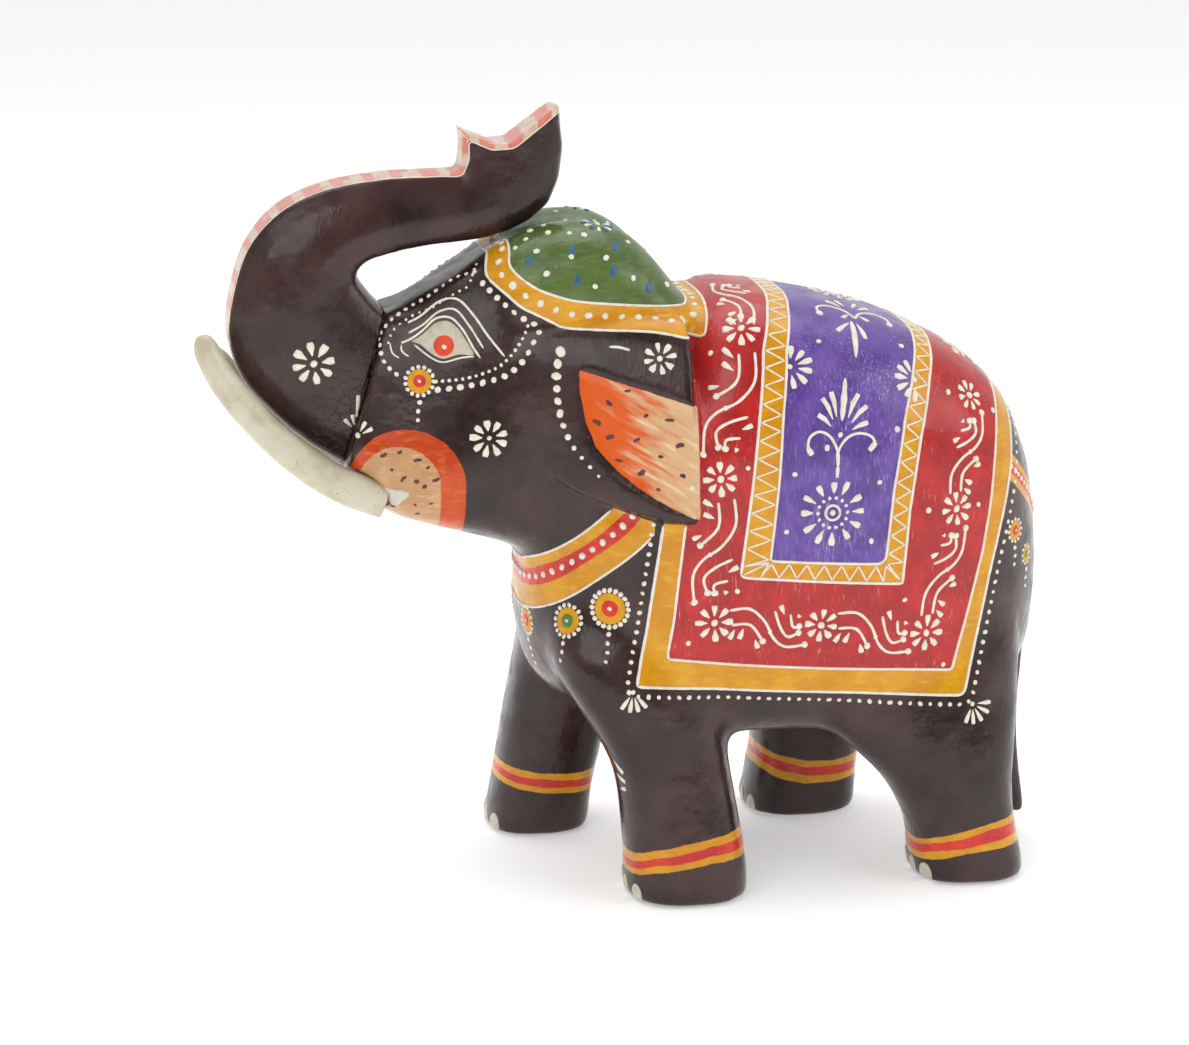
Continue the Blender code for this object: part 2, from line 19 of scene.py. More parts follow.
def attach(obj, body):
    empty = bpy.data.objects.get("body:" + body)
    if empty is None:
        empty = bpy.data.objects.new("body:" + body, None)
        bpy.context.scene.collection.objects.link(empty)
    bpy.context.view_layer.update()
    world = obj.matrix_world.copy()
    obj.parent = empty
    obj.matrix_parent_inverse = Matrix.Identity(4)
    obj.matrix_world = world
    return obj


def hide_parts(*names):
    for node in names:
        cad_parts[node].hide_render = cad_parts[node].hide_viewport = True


MM = 0.001
X, Y, Z = Vector((1, 0, 0)), Vector((0, 1, 0)), Vector((0, 0, 1))
SIDES = ((-1, "left"), (1, "right"))

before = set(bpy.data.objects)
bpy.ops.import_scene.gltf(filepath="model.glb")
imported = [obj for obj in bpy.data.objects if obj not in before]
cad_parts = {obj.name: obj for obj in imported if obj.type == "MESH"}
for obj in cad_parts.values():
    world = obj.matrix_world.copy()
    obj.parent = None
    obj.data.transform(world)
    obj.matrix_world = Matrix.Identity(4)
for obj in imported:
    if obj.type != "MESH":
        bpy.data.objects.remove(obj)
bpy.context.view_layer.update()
dice = random.Random(12)

# ---------------------------------------------------------------- the surface

BODY_CELL, TRUNK_CELL, TUSK_CELL, TAIL_CELL = 1.15, 0.85, 0.55, 0.7
KNIFE_MARKS = ((15.0, 0.22), (6.0, 0.07))  # wavelength and height of the waves that sanding left
EAR_REAR = 13.4  # x of the ear's rear edge
EAR_LOW = 126.5  # z of its lowest point
SEAM_TOP, SEAM_LOW = (-78.3, 194.4), (-94.0, 140.4)  # the glue line between trunk and face, x and z
SEAM_REACH = 3.0  # how far from the glue line its edges stay tight
SEAM_CLOSING = 0.25
FACE_REACH, MOUTH_REACH = 3.0, 4.0  # the same for the trunk's outer face and its notched end
SHARP, FIRM = 0.06, 0.3  # share of the smoothing that a sharp edge takes, and one that is nearly so


def vectors(rows, field):
    found = np.empty(len(rows) * 3)
    rows.foreach_get(field, found)
    return found.reshape(-1, 3)


def coordinates(mesh):
    return vectors(mesh.vertices, "co") / MM


def normals(mesh):
    return vectors(mesh.vertex_normals, "vector")


def write_coordinates(mesh, points):
    mesh.vertices.foreach_set("co", (points * MM).astype(np.float32).ravel())
    mesh.update()


def relaxed(mesh, points, passes, share):
    """Points after some passes of averaging with their neighbours; share says how much each follows."""
    edges = np.empty(len(mesh.edges) * 2, np.int64)
    mesh.edges.foreach_get("vertices", edges)
    a, b = edges.reshape(-1, 2).T
    count = len(points)
    degree = np.bincount(a, minlength=count) + np.bincount(b, minlength=count)
    for _ in range(passes):
        total = np.stack(
            [np.bincount(a, p[b], count) + np.bincount(b, p[a], count) for p in points.T], axis=1
        )
        points = points + (total / degree[:, None] - points) * (0.5 * share)[:, None]
    return points


def undulation(points, seed):
    """Height of the knife marks at each point."""
    shift = Vector((seed * 7.3, seed * 3.1, seed * 5.7))
    total = np.zeros(len(points))
    for wavelength, height in KNIFE_MARKS:
        total += height * np.array([noise.noise(Vector(p) / wavelength + shift) for p in points])
    return total


def carving(name, node, cell, passes, seed, share=None):
    """The CAD solid's surface as fine, evenly sized faces, smoothed and slightly uneven."""
    rough = bpy.data.objects.new("rough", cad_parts[node].data.copy())
    bpy.context.scene.collection.objects.link(rough)
    remesh = rough.modifiers.new("fine", "REMESH")
    remesh.mode = "VOXEL"
    remesh.voxel_size = cell * MM
    bpy.context.view_layer.update()
    mesh = bpy.data.meshes.new_from_object(rough.evaluated_get(bpy.context.evaluated_depsgraph_get()))
    bpy.data.objects.remove(rough)
    points = coordinates(mesh)
    points = relaxed(mesh, points, passes, np.ones(len(points)) if share is None else share(points))
    write_coordinates(mesh, points)
    write_coordinates(mesh, points + normals(mesh) * undulation(points, seed)[:, None])
    mesh.shade_smooth()
    mesh.materials.clear()
    obj = bpy.data.objects.new(name, mesh)
    bpy.context.scene.collection.objects.link(obj)
    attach(obj, "root")
    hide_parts(node)
    return obj


def seam_x(z):
    """The glue line at this height."""
    return np.interp(z, (SEAM_LOW[1], SEAM_TOP[1]), (SEAM_LOW[0], SEAM_TOP[0]))


def near_seam(points):
    return np.abs(points[:, 0] - seam_x(points[:, 2])) < SEAM_REACH


def body_share(points):
    """How much the body's vertices follow the smoothing: less at the glue line and on the relief ears."""
    x, y, z = points.T
    ear = (x > -44) & (x < 17) & (z > 122) & (z < 192) & (np.abs(y) > 27)
    return np.where(near_seam(points), SHARP, np.where(ear, FIRM, 1.0))


def trunk_share(points):
    """Less at the glue line, along the flat outer face's edges and round the notched nostril end."""
    x, _, z = points.T
    outer = from_line(x, z, smooth_line(TRUNK_OUTER)) < FACE_REACH
    mouth = from_line(x, z, TRUNK_MOUTH) < MOUTH_REACH
    return np.where(near_seam(points) | mouth, SHARP, np.where(outer, FIRM, 1.0))


# ---------------------------------------------------------------- regions of paint, in the side view


def smooth_line(points, steps=4):
    """More points on one smooth curve through the given ones."""
    rows = [np.array(p, float) for p in points]
    made = []
    for i in range(len(rows) - 1):
        p, q, r, s = rows[max(i - 1, 0)], rows[i], rows[i + 1], rows[min(i + 2, len(rows) - 1)]
        for k in range(steps):
            t = k / steps
            bend = (2 * p - 5 * q + 4 * r - s) * t**2 + (3 * q - p - 3 * r + s) * t**3
            made.append(0.5 * (2 * q + (r - p) * t + bend))
    return made + [rows[-1]]


def from_line(x, z, line):
    """Distance to an open line."""
    nearest = np.full(len(x), 1e9)
    for (ax, az), (bx, bz) in zip(line, line[1:]):
        ex, ez = bx - ax, bz - az
        t = np.clip(((x - ax) * ex + (z - az) * ez) / (ex * ex + ez * ez), 0, 1)
        nearest = np.minimum(nearest, np.hypot(x - ax - ex * t, z - az - ez * t))
    return nearest


def inside(x, z, outline):
    """Distance to the outline's edge, positive inside it."""
    ring = [*outline, outline[0]]
    within = np.zeros(len(x), bool)
    for (ax, az), (bx, bz) in zip(ring, ring[1:]):
        if az != bz:
            within ^= ((az > z) != (bz > z)) & (x < ax + (z - az) * (bx - ax) / (bz - az))
    nearest = from_line(x, z, ring)
    return np.where(within, nearest, -nearest)


def least(*distances):
    return np.minimum.reduce(distances)


SKY = 240  # above the figure
CLOTH = [
    (-5, 73), (-1.5, 89.5), (1, 108), (3.5, 125), (5, 140), (8, SKY), (132, SKY), (128, 176), (123, 156),
    (121, 139), (117.5, 124), (113.5, 108.5), (108.5, 85), (103.5, 64.5),
]
FIELD = [
    (5, 81.5), (7, 95), (8.5, 110), (10, 123), (10.5, 140), (12, SKY), (124, SKY), (121, 176),
    (117, 162), (114.5, 147), (112, 126.5), (109.5, 111.5), (103, 86), (99.5, 73),
]
PANEL_LEFT = [(27.5, 109), (31, 137.5), (33.5, 161), (36, 180.5), (40, 191), (44, 197), (48, SKY)]
PANEL_RIGHT = [(100, SKY), (96, 181), (91, 168.5), (86.5, 150.5), (83, 128), (81, 104)]
VIOLET_LEFT = [(37, 114), (39.5, 139), (41, 161), (43.5, 180), (47, 190.5), (51, 197), (55, SKY)]
VIOLET_RIGHT = [(94, SKY), (89.5, 181), (86, 173), (81.5, 158.5), (77.5, 135), (75, 111)]
CAP = [
    (-42.5, 212.5), (-46.5, 208.5), (-48, 205), (-48, 202), (-45.5, 199.5), (-42.5, 197), (-38.5, 193.5),
    (-34.5, 191.5), (-29.5, 189), (-25, 187), (-13.5, 186.5), (3, 186), (17.5, 183),
]
CAP_REAR = [(19.5, 183.5), (21, 189), (22, 194), (22.5, SKY), (-42.5, SKY)]
GREEN = [
    (-40.5, 212.5), (-41, 209), (-41.5, 206.5), (-40, 204), (-37, 201.5), (-33, 199), (-27.5, 197),
    (-22, 195.5), (-13, 194.5), (3, 193), (15, 192),
]
GREEN_REAR = [(16, 193.5), (15.5, 199), (14.5, SKY), (-40.5, SKY)]
COLLAR_TOP = [
    (-60, 105), (-38, 107.5), (-35.5, 109), (-32, 111.5), (-27, 115), (-21, 120), (-15, 126), (-8, 133.5),
    (4, 145),
]
COLLAR_LOW = [
    (-60, 90), (-38, 91), (-35, 92), (-30, 95.5), (-22.5, 101), (-15, 107.5), (-7.5, 114), (-1, 120.5),
    (5, 129),
]
COLLAR_END = 1.0  # x at which it runs in under the ear and the cloth
EAR_UNDERSIDE = [(-44, 148), (-31, 141), (-19, 134), (-3, 129), (6, 126.5), (16, 126.5)]
COLLAR_ABOVE, COLLAR_BELOW = 3.2, 6.0  # ochre above and below its red stripe
CHEEK_CENTRE, CHEEK_RADIUS = (-75, 137), 18
TAN_CENTRE, TAN_RADIUS = (-77.5, 137), 12.6
CHEEK_INNER_Y = 15
DISH_INNER_Y = 30
DISH = [(-21.5, 174.5), (-21.5, 167.5), (-20, 158.5), (-17, 150.5), (-11, 143.5), (-3, 137), (6.5, 131.5)]
DISH_REAR = [(14.5, 128), (14.5, 163.5)]
# Leg bands: x, top of the ochre, top and bottom of the red, bottom of the ochre.
BANDS = {
    "front_left": [
        (-8, 15.5, 12.5, 10, 8.5), (0, 19, 16.5, 14, 11.5), (9, 21, 18, 15, 13),
        (19, 22.5, 20, 17, 14.5), (30, 23.5, 20.5, 17, 14.5),
    ],
    "hind_left": [
        (90, 14, 12, 9, 7), (94.5, 16.5, 14.5, 11.5, 8.5), (104, 19, 16.5, 13, 11),
        (113, 21, 19, 14.5, 12), (122, 22, 19.5, 15.5, 12.5),
    ],
    "front_right": [
        (-39, 25, 23, 20.5, 18.5), (-33, 24, 21.5, 19, 17), (-24, 22.5, 20.5, 17.5, 15.5),
        (-15, 22, 19.5, 17, 15), (-6, 22, 19, 16, 14),
    ],
    "hind_right": [
        (53, 25.5, 23, 20.5, 17.5), (59, 23, 21, 17.5, 14.5), (69, 21, 18.5, 15.5, 12.5),
        (79, 20.5, 18.5, 15, 12.5), (87, 21.5, 18.5, 15.5, 13),
    ],
}
CRUPPER = [(46, 149), (38, 138), (29, 128), (20, 119), (9, 111.5), (0, 109)]  # as y, z seen from behind
CRUPPER_HALF, CRUPPER_RED_HALF = 4.0, 1.7
CRUPPER_FRONT = 112  # x behind which it shows
BETWEEN_LEGS = 42  # x
FAR_OUTSIDE = -50.0  # distance that stands for "nowhere near"


def cheek_patch(x, y, z, centre, radius):
    """A round patch whose sides run straight down from its middle."""
    cx, cz = centre
    return least(radius - np.hypot(x - cx, np.maximum(z - cz, 0)), np.abs(y) - CHEEK_INNER_Y)


def leg_bands(x, y, z):
    """Distances inside the ochre bands of the legs and inside their red stripes."""
    band, red = np.full(len(x), FAR_OUTSIDE), np.full(len(x), FAR_OUTSIDE)
    for leg, rows in BANDS.items():
        mine = ((y < 0) == leg.endswith("left")) & ((x < BETWEEN_LEGS) == leg.startswith("front"))
        at, *heights = zip(*rows)
        top, red_top, red_low, low = (np.interp(x, at, row) for row in heights)
        band = np.where(mine, least(top - z, z - low), band)
        red = np.where(mine, least(red_top - z, z - red_low), red)
    return band, red


def under_ear(x):
    """Height of the ear's lower edge."""
    return np.interp(x, *zip(*EAR_UNDERSIDE))


def body_regions(points):
    x, y, z = points.T
    beside_ear = np.maximum(x - EAR_REAR - 0.3, EAR_LOW - z)
    by_ear = least(x - EAR_REAR, 30 - x, z - EAR_LOW + 1.5, 183.6 - z)  # the red meets the ear's edge
    regions = {
        "cloth": least(inside(x, z, CLOTH), beside_ear),
        "field": least(np.maximum(inside(x, z, FIELD), by_ear), beside_ear),
        "panel": inside(x, z, PANEL_LEFT + PANEL_RIGHT),
        "violet": inside(x, z, VIOLET_LEFT + VIOLET_RIGHT),
        "cap": inside(x, z, smooth_line(CAP) + CAP_REAR),
        "green": inside(x, z, smooth_line(GREEN) + GREEN_REAR),
        "cheek": cheek_patch(x, y, z, CHEEK_CENTRE, CHEEK_RADIUS),
        "tan": cheek_patch(x, y, z, TAN_CENTRE, TAN_RADIUS),
        "dish": least(inside(x, z, DISH + DISH_REAR), np.abs(y) - DISH_INNER_Y),
    }
    top, low = smooth_line(COLLAR_TOP), smooth_line(COLLAR_LOW)
    between = inside(x, z, top + low[::-1])
    above, below = from_line(x, z, top), from_line(x, z, low)
    end = least(COLLAR_END - x, under_ear(x) - 1.2 - z)
    regions["collar"] = least(between, end)
    sign = np.sign(between)
    regions["collar_red"] = least(sign * above - COLLAR_ABOVE, sign * below - COLLAR_BELOW, end)
    regions["collar_middle"] = (above - COLLAR_ABOVE) - (below - COLLAR_BELOW)
    regions["band"], regions["band_red"] = leg_bands(x, y, z)
    from_strap = from_line(np.abs(y), z, CRUPPER)
    behind = least(x - CRUPPER_FRONT, -regions["cloth"])
    regions["crupper"] = least(CRUPPER_HALF - from_strap, behind)
    regions["crupper_red"] = least(CRUPPER_RED_HALF - from_strap, behind)
    regions["dish_fade"] = (x - 0.1 * (174 - z) + 17) / 27
    return regions


def store(mesh, values):
    for name, row in values.items():
        made = mesh.attributes.new(name, "FLOAT", "POINT")
        made.data.foreach_set("value", row.astype(np.float32))


# ---------------------------------------------------------------- trunk

# Outer edge of the trunk in the side view, and how wide its striped outer face is there, each side of y 0.
TRUNK_OUTER = [
    (-93.8, 141.2), (-105.6, 148.6), (-116.4, 158.4), (-125.2, 169.4), (-129.2, 182.6), (-127.4, 197.0),
    (-122.2, 211.4), (-113.4, 221.6), (-102.6, 227.6), (-90.0, 230.8), (-77.4, 232.4), (-65.4, 233.0),
    (-54.4, 233.4), (-53.6, 240.0), (-54.0, 246.8),
]
TRUNK_MOUTH = [
    (-60.0, 248.4), (-54.0, 246.8), (-44.0, 242.4), (-38.0, 242.8), (-24.0, 253.4), (-15.0, 255.0),
]
FACE_HALF = 8.6
FACE_DEPTH = 2.0  # how far the cream paint runs round the edge of the face


def trunk_regions(points):
    x, y, z = points.T
    line = smooth_line(TRUNK_OUTER)
    depth = from_line(x, z, line)
    mouth = from_line(x, z, TRUNK_MOUTH)
    run = np.cumsum([0.0] + [math.hypot(*(b - a)) for a, b in zip(line, line[1:])])
    best, along = np.full(len(x), 1e9), np.zeros(len(x))
    for (px, pz), length in zip(line, run):
        d = np.hypot(x - px, z - pz)
        along = np.where(d < best, length, along)
        best = np.minimum(best, d)
    along = np.where(mouth < depth, run[-1] + (x - TRUNK_MOUTH[0][0]), along)
    face = least(FACE_HALF - np.abs(y), FACE_DEPTH - depth)
    return {"face": np.maximum(face, FACE_DEPTH - mouth), "along": along}


# ---------------------------------------------------------------- materials


SHEEN = 0.34  # strength of the mirror reflection; the old varnish has dulled


class Nodes:
    """Shader nodes of a material or of the world."""

    def __init__(self, owner):
        owner.use_nodes = True
        self.tree = owner.node_tree

    def node(self, kind, **settings):
        made = self.tree.nodes.new(kind)
        for key, value in settings.items():
            setattr(made, key, value)
        return made

    def feed(self, socket, value):
        if isinstance(value, bpy.types.NodeSocket):
            self.tree.links.new(value, socket)
        elif socket.type == "RGBA" and isinstance(value, tuple):
            socket.default_value = (*value, 1)
        else:
            socket.default_value = value

    def fill(self, node, values):
        for name, value in values.items():
            self.feed(node.inputs[name], value)

    def spread(self, value, low, high, to_low=0.0, to_high=1.0, curve="SMOOTHSTEP"):
        """Value moved from low..high to another span, and kept in it."""
        made = self.node("ShaderNodeMapRange", interpolation_type=curve)
        for socket, given in zip(made.inputs, (value, low, high, to_low, to_high)):
            self.feed(socket, given)
        return made.outputs[0]


class Paint(Nodes):
    """A painted material, with one colour laid over another."""

    def __init__(self, name, roughness, coat=0.0, coat_roughness=0.1):
        self.material = bpy.data.materials.new(name)
        super().__init__(self.material)
        self.shader = self.tree.nodes["Principled BSDF"]
        self.fill(self.shader, {"Roughness": roughness, "Specular IOR Level": SHEEN})
        self.fill(self.shader, {"Coat Weight": coat, "Coat Roughness": coat_roughness})
        self.place = self.node("ShaderNodeTexCoord").outputs["Object"]
        self.shake = None

    def math(self, operation, a, b=0.0):
        made = self.node("ShaderNodeMath", operation=operation)
        self.feed(made.inputs[0], a)
        self.feed(made.inputs[1], b)
        return made.outputs[0]

    def times(self, a, b):
        return self.math("MULTIPLY", a, b)

    def plus(self, a, b):
        return self.math("ADD", a, b)

    def centred(self, share):
        return self.math("SUBTRACT", share, 0.5)

    def mix(self, share, a, b):
        made = self.node("ShaderNodeMix", data_type="RGBA")
        for number, value in ((0, share), (6, a), (7, b)):
            self.feed(made.inputs[number], value)
        return made.outputs[2]

    def noise(self, wavelength, detail=2.0, stretch=(1, 1, 1), turn=0.0, roughness=0.5):
        """Noise of this wavelength; stretch makes it longer along an axis, and turn tips it about Y."""
        mapping = self.node("ShaderNodeMapping", vector_type="TEXTURE")
        size = [wavelength * MM * s for s in stretch]
        self.fill(mapping, {"Vector": self.place, "Rotation": (0, math.radians(turn), 0), "Scale": size})
        made = self.node("ShaderNodeTexNoise")
        self.fill(made, {"Vector": mapping.outputs[0], "Scale": 1, "Detail": detail, "Roughness": roughness})
        return made.outputs["Fac"]

    def patches(self, wavelength, low, high, to_low=0.0, to_high=1.0, detail=2.0):
        """Noise with its contrast raised."""
        return self.spread(self.noise(wavelength, detail), low, high, to_low, to_high)

    def value(self, name):
        return self.node("ShaderNodeAttribute", attribute_name=name).outputs["Fac"]

    def region(self, name, soft=0.14, unsteady=0.5):
        """1 inside a region and 0 outside it, with a hand-painted edge."""
        if self.shake is None:
            self.shake = self.centred(self.noise(3.0, 1))
        return self.spread(self.plus(self.value(name), self.times(self.shake, unsteady)), -soft, soft)

    def bump(self, height, depth, before=None):
        made = self.node("ShaderNodeBump")
        self.fill(made, {"Distance": depth * MM, "Height": height})
        if before is not None:
            self.feed(made.inputs["Normal"], before)
        return made.outputs[0]

    def finish(self, colour, normal, roughness=None):
        self.fill(self.shader, {"Base Color": colour, "Normal": normal, "Coat Normal": normal})
        if roughness is not None:
            self.feed(self.shader.inputs["Roughness"], roughness)
        return self.material


# Each paint as its main colour, the same where it is dark, and the same where it is dry or worn.
BLACK = ((0.054, 0.023, 0.021), (0.018, 0.007, 0.006), (0.098, 0.054, 0.047))
RED = ((0.52, 0.018, 0.016), (0.38, 0.012, 0.013), (0.74, 0.34, 0.29))
BRIGHT_RED = ((0.70, 0.030, 0.010), RED[0], (0.78, 0.11, 0.05))
OCHRE = ((0.70, 0.330, 0.0), (0.62, 0.250, 0.0), (0.80, 0.46, 0.03))
VIOLET = ((0.150, 0.072, 0.36), (0.095, 0.042, 0.25), (0.40, 0.32, 0.58))
LEAF = ((0.105, 0.165, 0.036), (0.065, 0.115, 0.024), (0.18, 0.24, 0.09))
ORANGE = ((0.60, 0.070, 0.003), (0.50, 0.045, 0.003), (0.80, 0.20, 0.04))
TAN = ((0.58, 0.34, 0.16), (0.52, 0.27, 0.12), (0.74, 0.52, 0.31))
EAR_SKIN = ((0.71, 0.105, 0.009), (0.67, 0.42, 0.22), (0.86, 0.64, 0.42))  # front, rear, streaks
TUSK_CREAM = ((0.62, 0.57, 0.44), (0.50, 0.44, 0.31))
# The first brown is the tusks' dirt. It also serves as painted shade where a tusk lies against the trunk and
# meets the face.
TUSK_DIRT_AND_SHADE, TUSK_SPECKS = (0.20, 0.10, 0.04), (0.12, 0.08, 0.05)
FACE_CREAM = ((0.68, 0.52, 0.40), (0.58, 0.38, 0.27))
FACE_STRIPES = ((0.64, 0.11, 0.045), (0.66, 0.20, 0.14))  # low on the trunk, higher up
CRACK = (0.008, 0.006, 0.006)
CRACK_CELL = 3.4  # spacing of the cracks
STRIPE_PITCH = 9.4  # spacing of the stripes on the trunk's outer face
WOOD = ((0.55, 0.36, 0.20), (0.36, 0.21, 0.10))


def black_coat(paint):
    """The base coat: brown-black, uneven, with rubbed edges where the wood's own brown shows through."""
    worn, deep, rubbed = BLACK
    coat = paint.mix(paint.patches(22, 0.35, 0.7, detail=3), deep, worn)
    fine = paint.spread(paint.noise(2.4, 4, roughness=0.7), 0.55, 0.8)
    return paint.mix(paint.times(fine, 0.35), coat, rubbed)


def brushed(paint, streak, colours):
    """A colour put on with a coarse brush: darker in places, with pale dry streaks."""
    main, dark, pale = colours
    return paint.mix(streak, paint.mix(paint.patches(9, 0.35, 0.72), dark, main), pale)


def crackle(paint, where):
    """Thin dark cracks in the varnish, only where the given share is above 0."""
    mapping = paint.node("ShaderNodeMapping")
    paint.fill(mapping, {"Vector": paint.place, "Scale": [1 / (CRACK_CELL * MM)] * 3})
    cells = paint.node("ShaderNodeTexVoronoi", feature="DISTANCE_TO_EDGE")
    paint.fill(cells, {"Vector": mapping.outputs[0], "Scale": 1})
    return paint.times(paint.spread(cells.outputs["Distance"], 0.0, 0.035, 1.0, 0.0), where)


def brush_marks(paint):
    """Brush marks and dust in the varnish."""
    marks = paint.noise(0.9, 2, stretch=(1, 1, 7))
    return paint.bump(paint.plus(paint.times(marks, 0.35), paint.noise(5.0, 2)), 0.20)


def varnish(paint):
    return paint.patches(7, 0.3, 0.75, 0.20, 0.42, detail=3)


def ear_skin(paint):
    """Orange that fades to tan towards the ear's rear, with pale streaks across it."""
    front, rear, streaks = EAR_SKIN
    sweep = paint.centred(paint.noise(1.9, 2, stretch=(9, 3, 1), turn=30))
    fade = paint.plus(paint.value("dish_fade"), paint.times(sweep, 1.5))
    pale = paint.spread(paint.noise(1.5, 2, stretch=(10, 3, 1), turn=30), 0.52, 0.74)
    pale = paint.times(pale, paint.spread(fade, 0.2, 0.7, 0.0, 0.8))
    return paint.mix(pale, paint.mix(paint.spread(fade, 0.18, 0.80), front, rear), streaks)


def body_paint():
    paint = Paint("painted_body", 0.26, 0.25, 0.12)
    dry = paint.noise(0.55, 3, stretch=(1, 1, 9), roughness=0.65)
    patchy = paint.patches(13, 0.42, 0.66)
    streak = paint.times(paint.spread(dry, 0.58, 0.72), paint.spread(patchy, 0, 1, 0.12, 0.75))
    rubbed = paint.times(paint.spread(dry, 0.50, 0.72), paint.spread(patchy, 0, 1, 0.30, 0.85))
    soft = paint.times(paint.spread(paint.noise(1.2, 3, stretch=(4, 4, 1)), 0.5, 0.75), 0.5)
    ochre, bright = brushed(paint, soft, OCHRE), brushed(paint, soft, BRIGHT_RED)
    layers = {
        "crupper": ochre, "crupper_red": bright, "band": ochre, "band_red": bright,
        "collar": ochre, "collar_red": bright,
        "cheek": brushed(paint, soft, ORANGE), "tan": brushed(paint, soft, TAN),
        "cloth": ochre, "field": brushed(paint, streak, RED),
        "panel": ochre, "violet": brushed(paint, rubbed, VIOLET),
        "cap": ochre, "green": brushed(paint, soft, LEAF), "dish": ear_skin(paint),
    }
    colour = black_coat(paint)
    for name, coat in layers.items():
        colour = paint.mix(paint.region(name), colour, coat)
    return paint.finish(colour, brush_marks(paint), varnish(paint))


def trunk_paint():
    """The black coat, cracked at the trunk's foot, and the striped outer face."""
    paint = Paint("painted_trunk", 0.26, 0.25, 0.12)
    place = paint.node("ShaderNodeSeparateXYZ")
    paint.feed(place.inputs[0], paint.place)
    low = paint.spread(place.outputs["Z"], 206 * MM, 150 * MM)
    back = paint.spread(place.outputs["X"], -112 * MM, -92 * MM)
    cracked = crackle(paint, paint.times(low, back))
    colour = paint.mix(paint.times(cracked, 0.8), black_coat(paint), CRACK)
    along = paint.plus(paint.value("along"), paint.times(paint.noise(9, 2), 3.0))
    wave = paint.math("SINE", paint.times(along, 2 * math.pi / STRIPE_PITCH))
    stripe = paint.times(paint.spread(wave, -0.12, 0.22), paint.patches(6, 0.3, 0.6, 0.8, 1.0))
    red = paint.mix(paint.spread(paint.value("along"), 40, 110), *FACE_STRIPES)
    cream = paint.mix(paint.patches(5, 0.4, 0.7, detail=3), *FACE_CREAM)
    colour = paint.mix(paint.region("face", 0.2, 0.4), colour, paint.mix(stripe, cream, red))
    return paint.finish(colour, paint.bump(cracked, -0.10, brush_marks(paint)), varnish(paint))


def tail_paint():
    paint = Paint("painted_tail", 0.38, 0.2, 0.2)
    hair = paint.noise(0.9, 3, stretch=(1, 1, 14), roughness=0.7)
    return paint.finish(black_coat(paint), paint.bump(hair, 0.35))


def tusk_paint():
    """Cream paint that has yellowed, with brown dirt and painted shade along the trunk side and round the
    root, and a grain along its length.
    """
    paint = Paint("painted_tusk", 0.36, 0.25, 0.2)
    grain = paint.noise(1.2, 3, stretch=(12, 1, 1), turn=44)
    colour = paint.mix(paint.patches(8, 0.35, 0.7, detail=3), *TUSK_CREAM)
    # Brown dirt mixed with painted shade, darkest where the tusk lies against the trunk and round its root
    # against the face.
    dirt_and_shade = paint.spread(paint.plus(paint.value("stain_and_shade"), paint.times(paint.centred(grain), 1.6)), 0.40, 0.95)
    colour = paint.mix(paint.times(dirt_and_shade, 0.85), colour, TUSK_DIRT_AND_SHADE)
    colour = paint.mix(paint.patches(1.1, 0.70, 0.76), colour, TUSK_SPECKS)
    return paint.finish(colour, paint.bump(grain, 0.12))


def relief_paint(name, main, shade):
    """Thick paint straight from the cone: one colour, a little uneven, with a soft gloss."""
    paint = Paint(name, 0.42, 0.15, 0.2)
    colour = paint.mix(paint.patches(2.6, 0.4, 0.75, detail=3), main, shade)
    return paint.finish(colour, paint.bump(paint.noise(0.5, 2), 0.05))


def bare_wood():
    paint = Paint("bare_wood", 0.7)
    rings = paint.noise(1.2, 4, stretch=(9, 1, 1), roughness=0.6)
    return paint.finish(paint.mix(paint.spread(rings, 0.35, 0.7), *WOOD), paint.bump(rings, 0.15))


# ---------------------------------------------------------------- places on the surface

Spot = namedtuple("Spot", "place normal")  # a point on the surface in millimetres, with its outward normal
BACK_AXIS, BACK_RADIUS = 140, 56.0  # z of the line that the back curves round, and how far off it lies
RAY_REACH, MISS_REACH = 200.0, 60.0  # a ray that misses finds the surface nearest to MISS_REACH along it
LIFT, DROP = 6, 14  # how far above a floating point the search for its surface starts, and how far it goes
SIDE_START, TOP_START = 90.0, 300.0  # y and z from which rays start
SHORTEST_CHAIN = 6  # a contour with fewer crossings is dropped


class Surface:
    """The carved wood that the raised paint lies on."""

    def __init__(self, objects):
        corners, faces = [], []
        for obj in objects:
            start = len(corners)
            corners += [Vector(p) for p in coordinates(obj.data)]
            faces += [[start + v for v in face.vertices] for face in obj.data.polygons]
        self.tree = BVHTree.FromPolygons(corners, faces)

    def ray(self, start, direction):
        found = self.tree.ray_cast(start, direction, RAY_REACH)
        if found[0] is None:
            found = self.tree.find_nearest(start + direction * MISS_REACH)
        return Spot(*found[:2])

    def above(self, x, y):
        return self.ray(Vector((x, y, TOP_START)), -Z)

    def under(self, place, normal):
        """The surface below a point that floats near it."""
        found = self.tree.ray_cast(place + normal * LIFT, -normal, DROP)
        if found[0] is None or found[1].dot(normal) < 0.2:
            found = self.tree.find_nearest(place)
        return Spot(*found[:2])


class Flank:
    """One side of the figure, where places are given as in the side view."""

    def __init__(self, surface, side):
        self.surface, self.side = surface, side

    def spot(self, x, z):
        """The outermost surface at x, z."""
        return self.surface.ray(Vector((x, self.side * SIDE_START, z)), Vector((0, -self.side, 0)))

    def sheet(self, x, z, turn=0.0):
        return Sheet(self.surface, self.spot(x, z), turn)

    def line(self, points, steps=5):
        return [self.spot(x, z) for x, z in smooth_line(points, steps)]

    def over_back(self, x, girth):
        """The back's surface at x, this far down from the ridge."""
        angle = girth / BACK_RADIUS
        away = Vector((0, self.side * math.sin(angle), math.cos(angle)))
        return self.surface.ray(Vector((x, 0, BACK_AXIS)) + away * 100, -away)


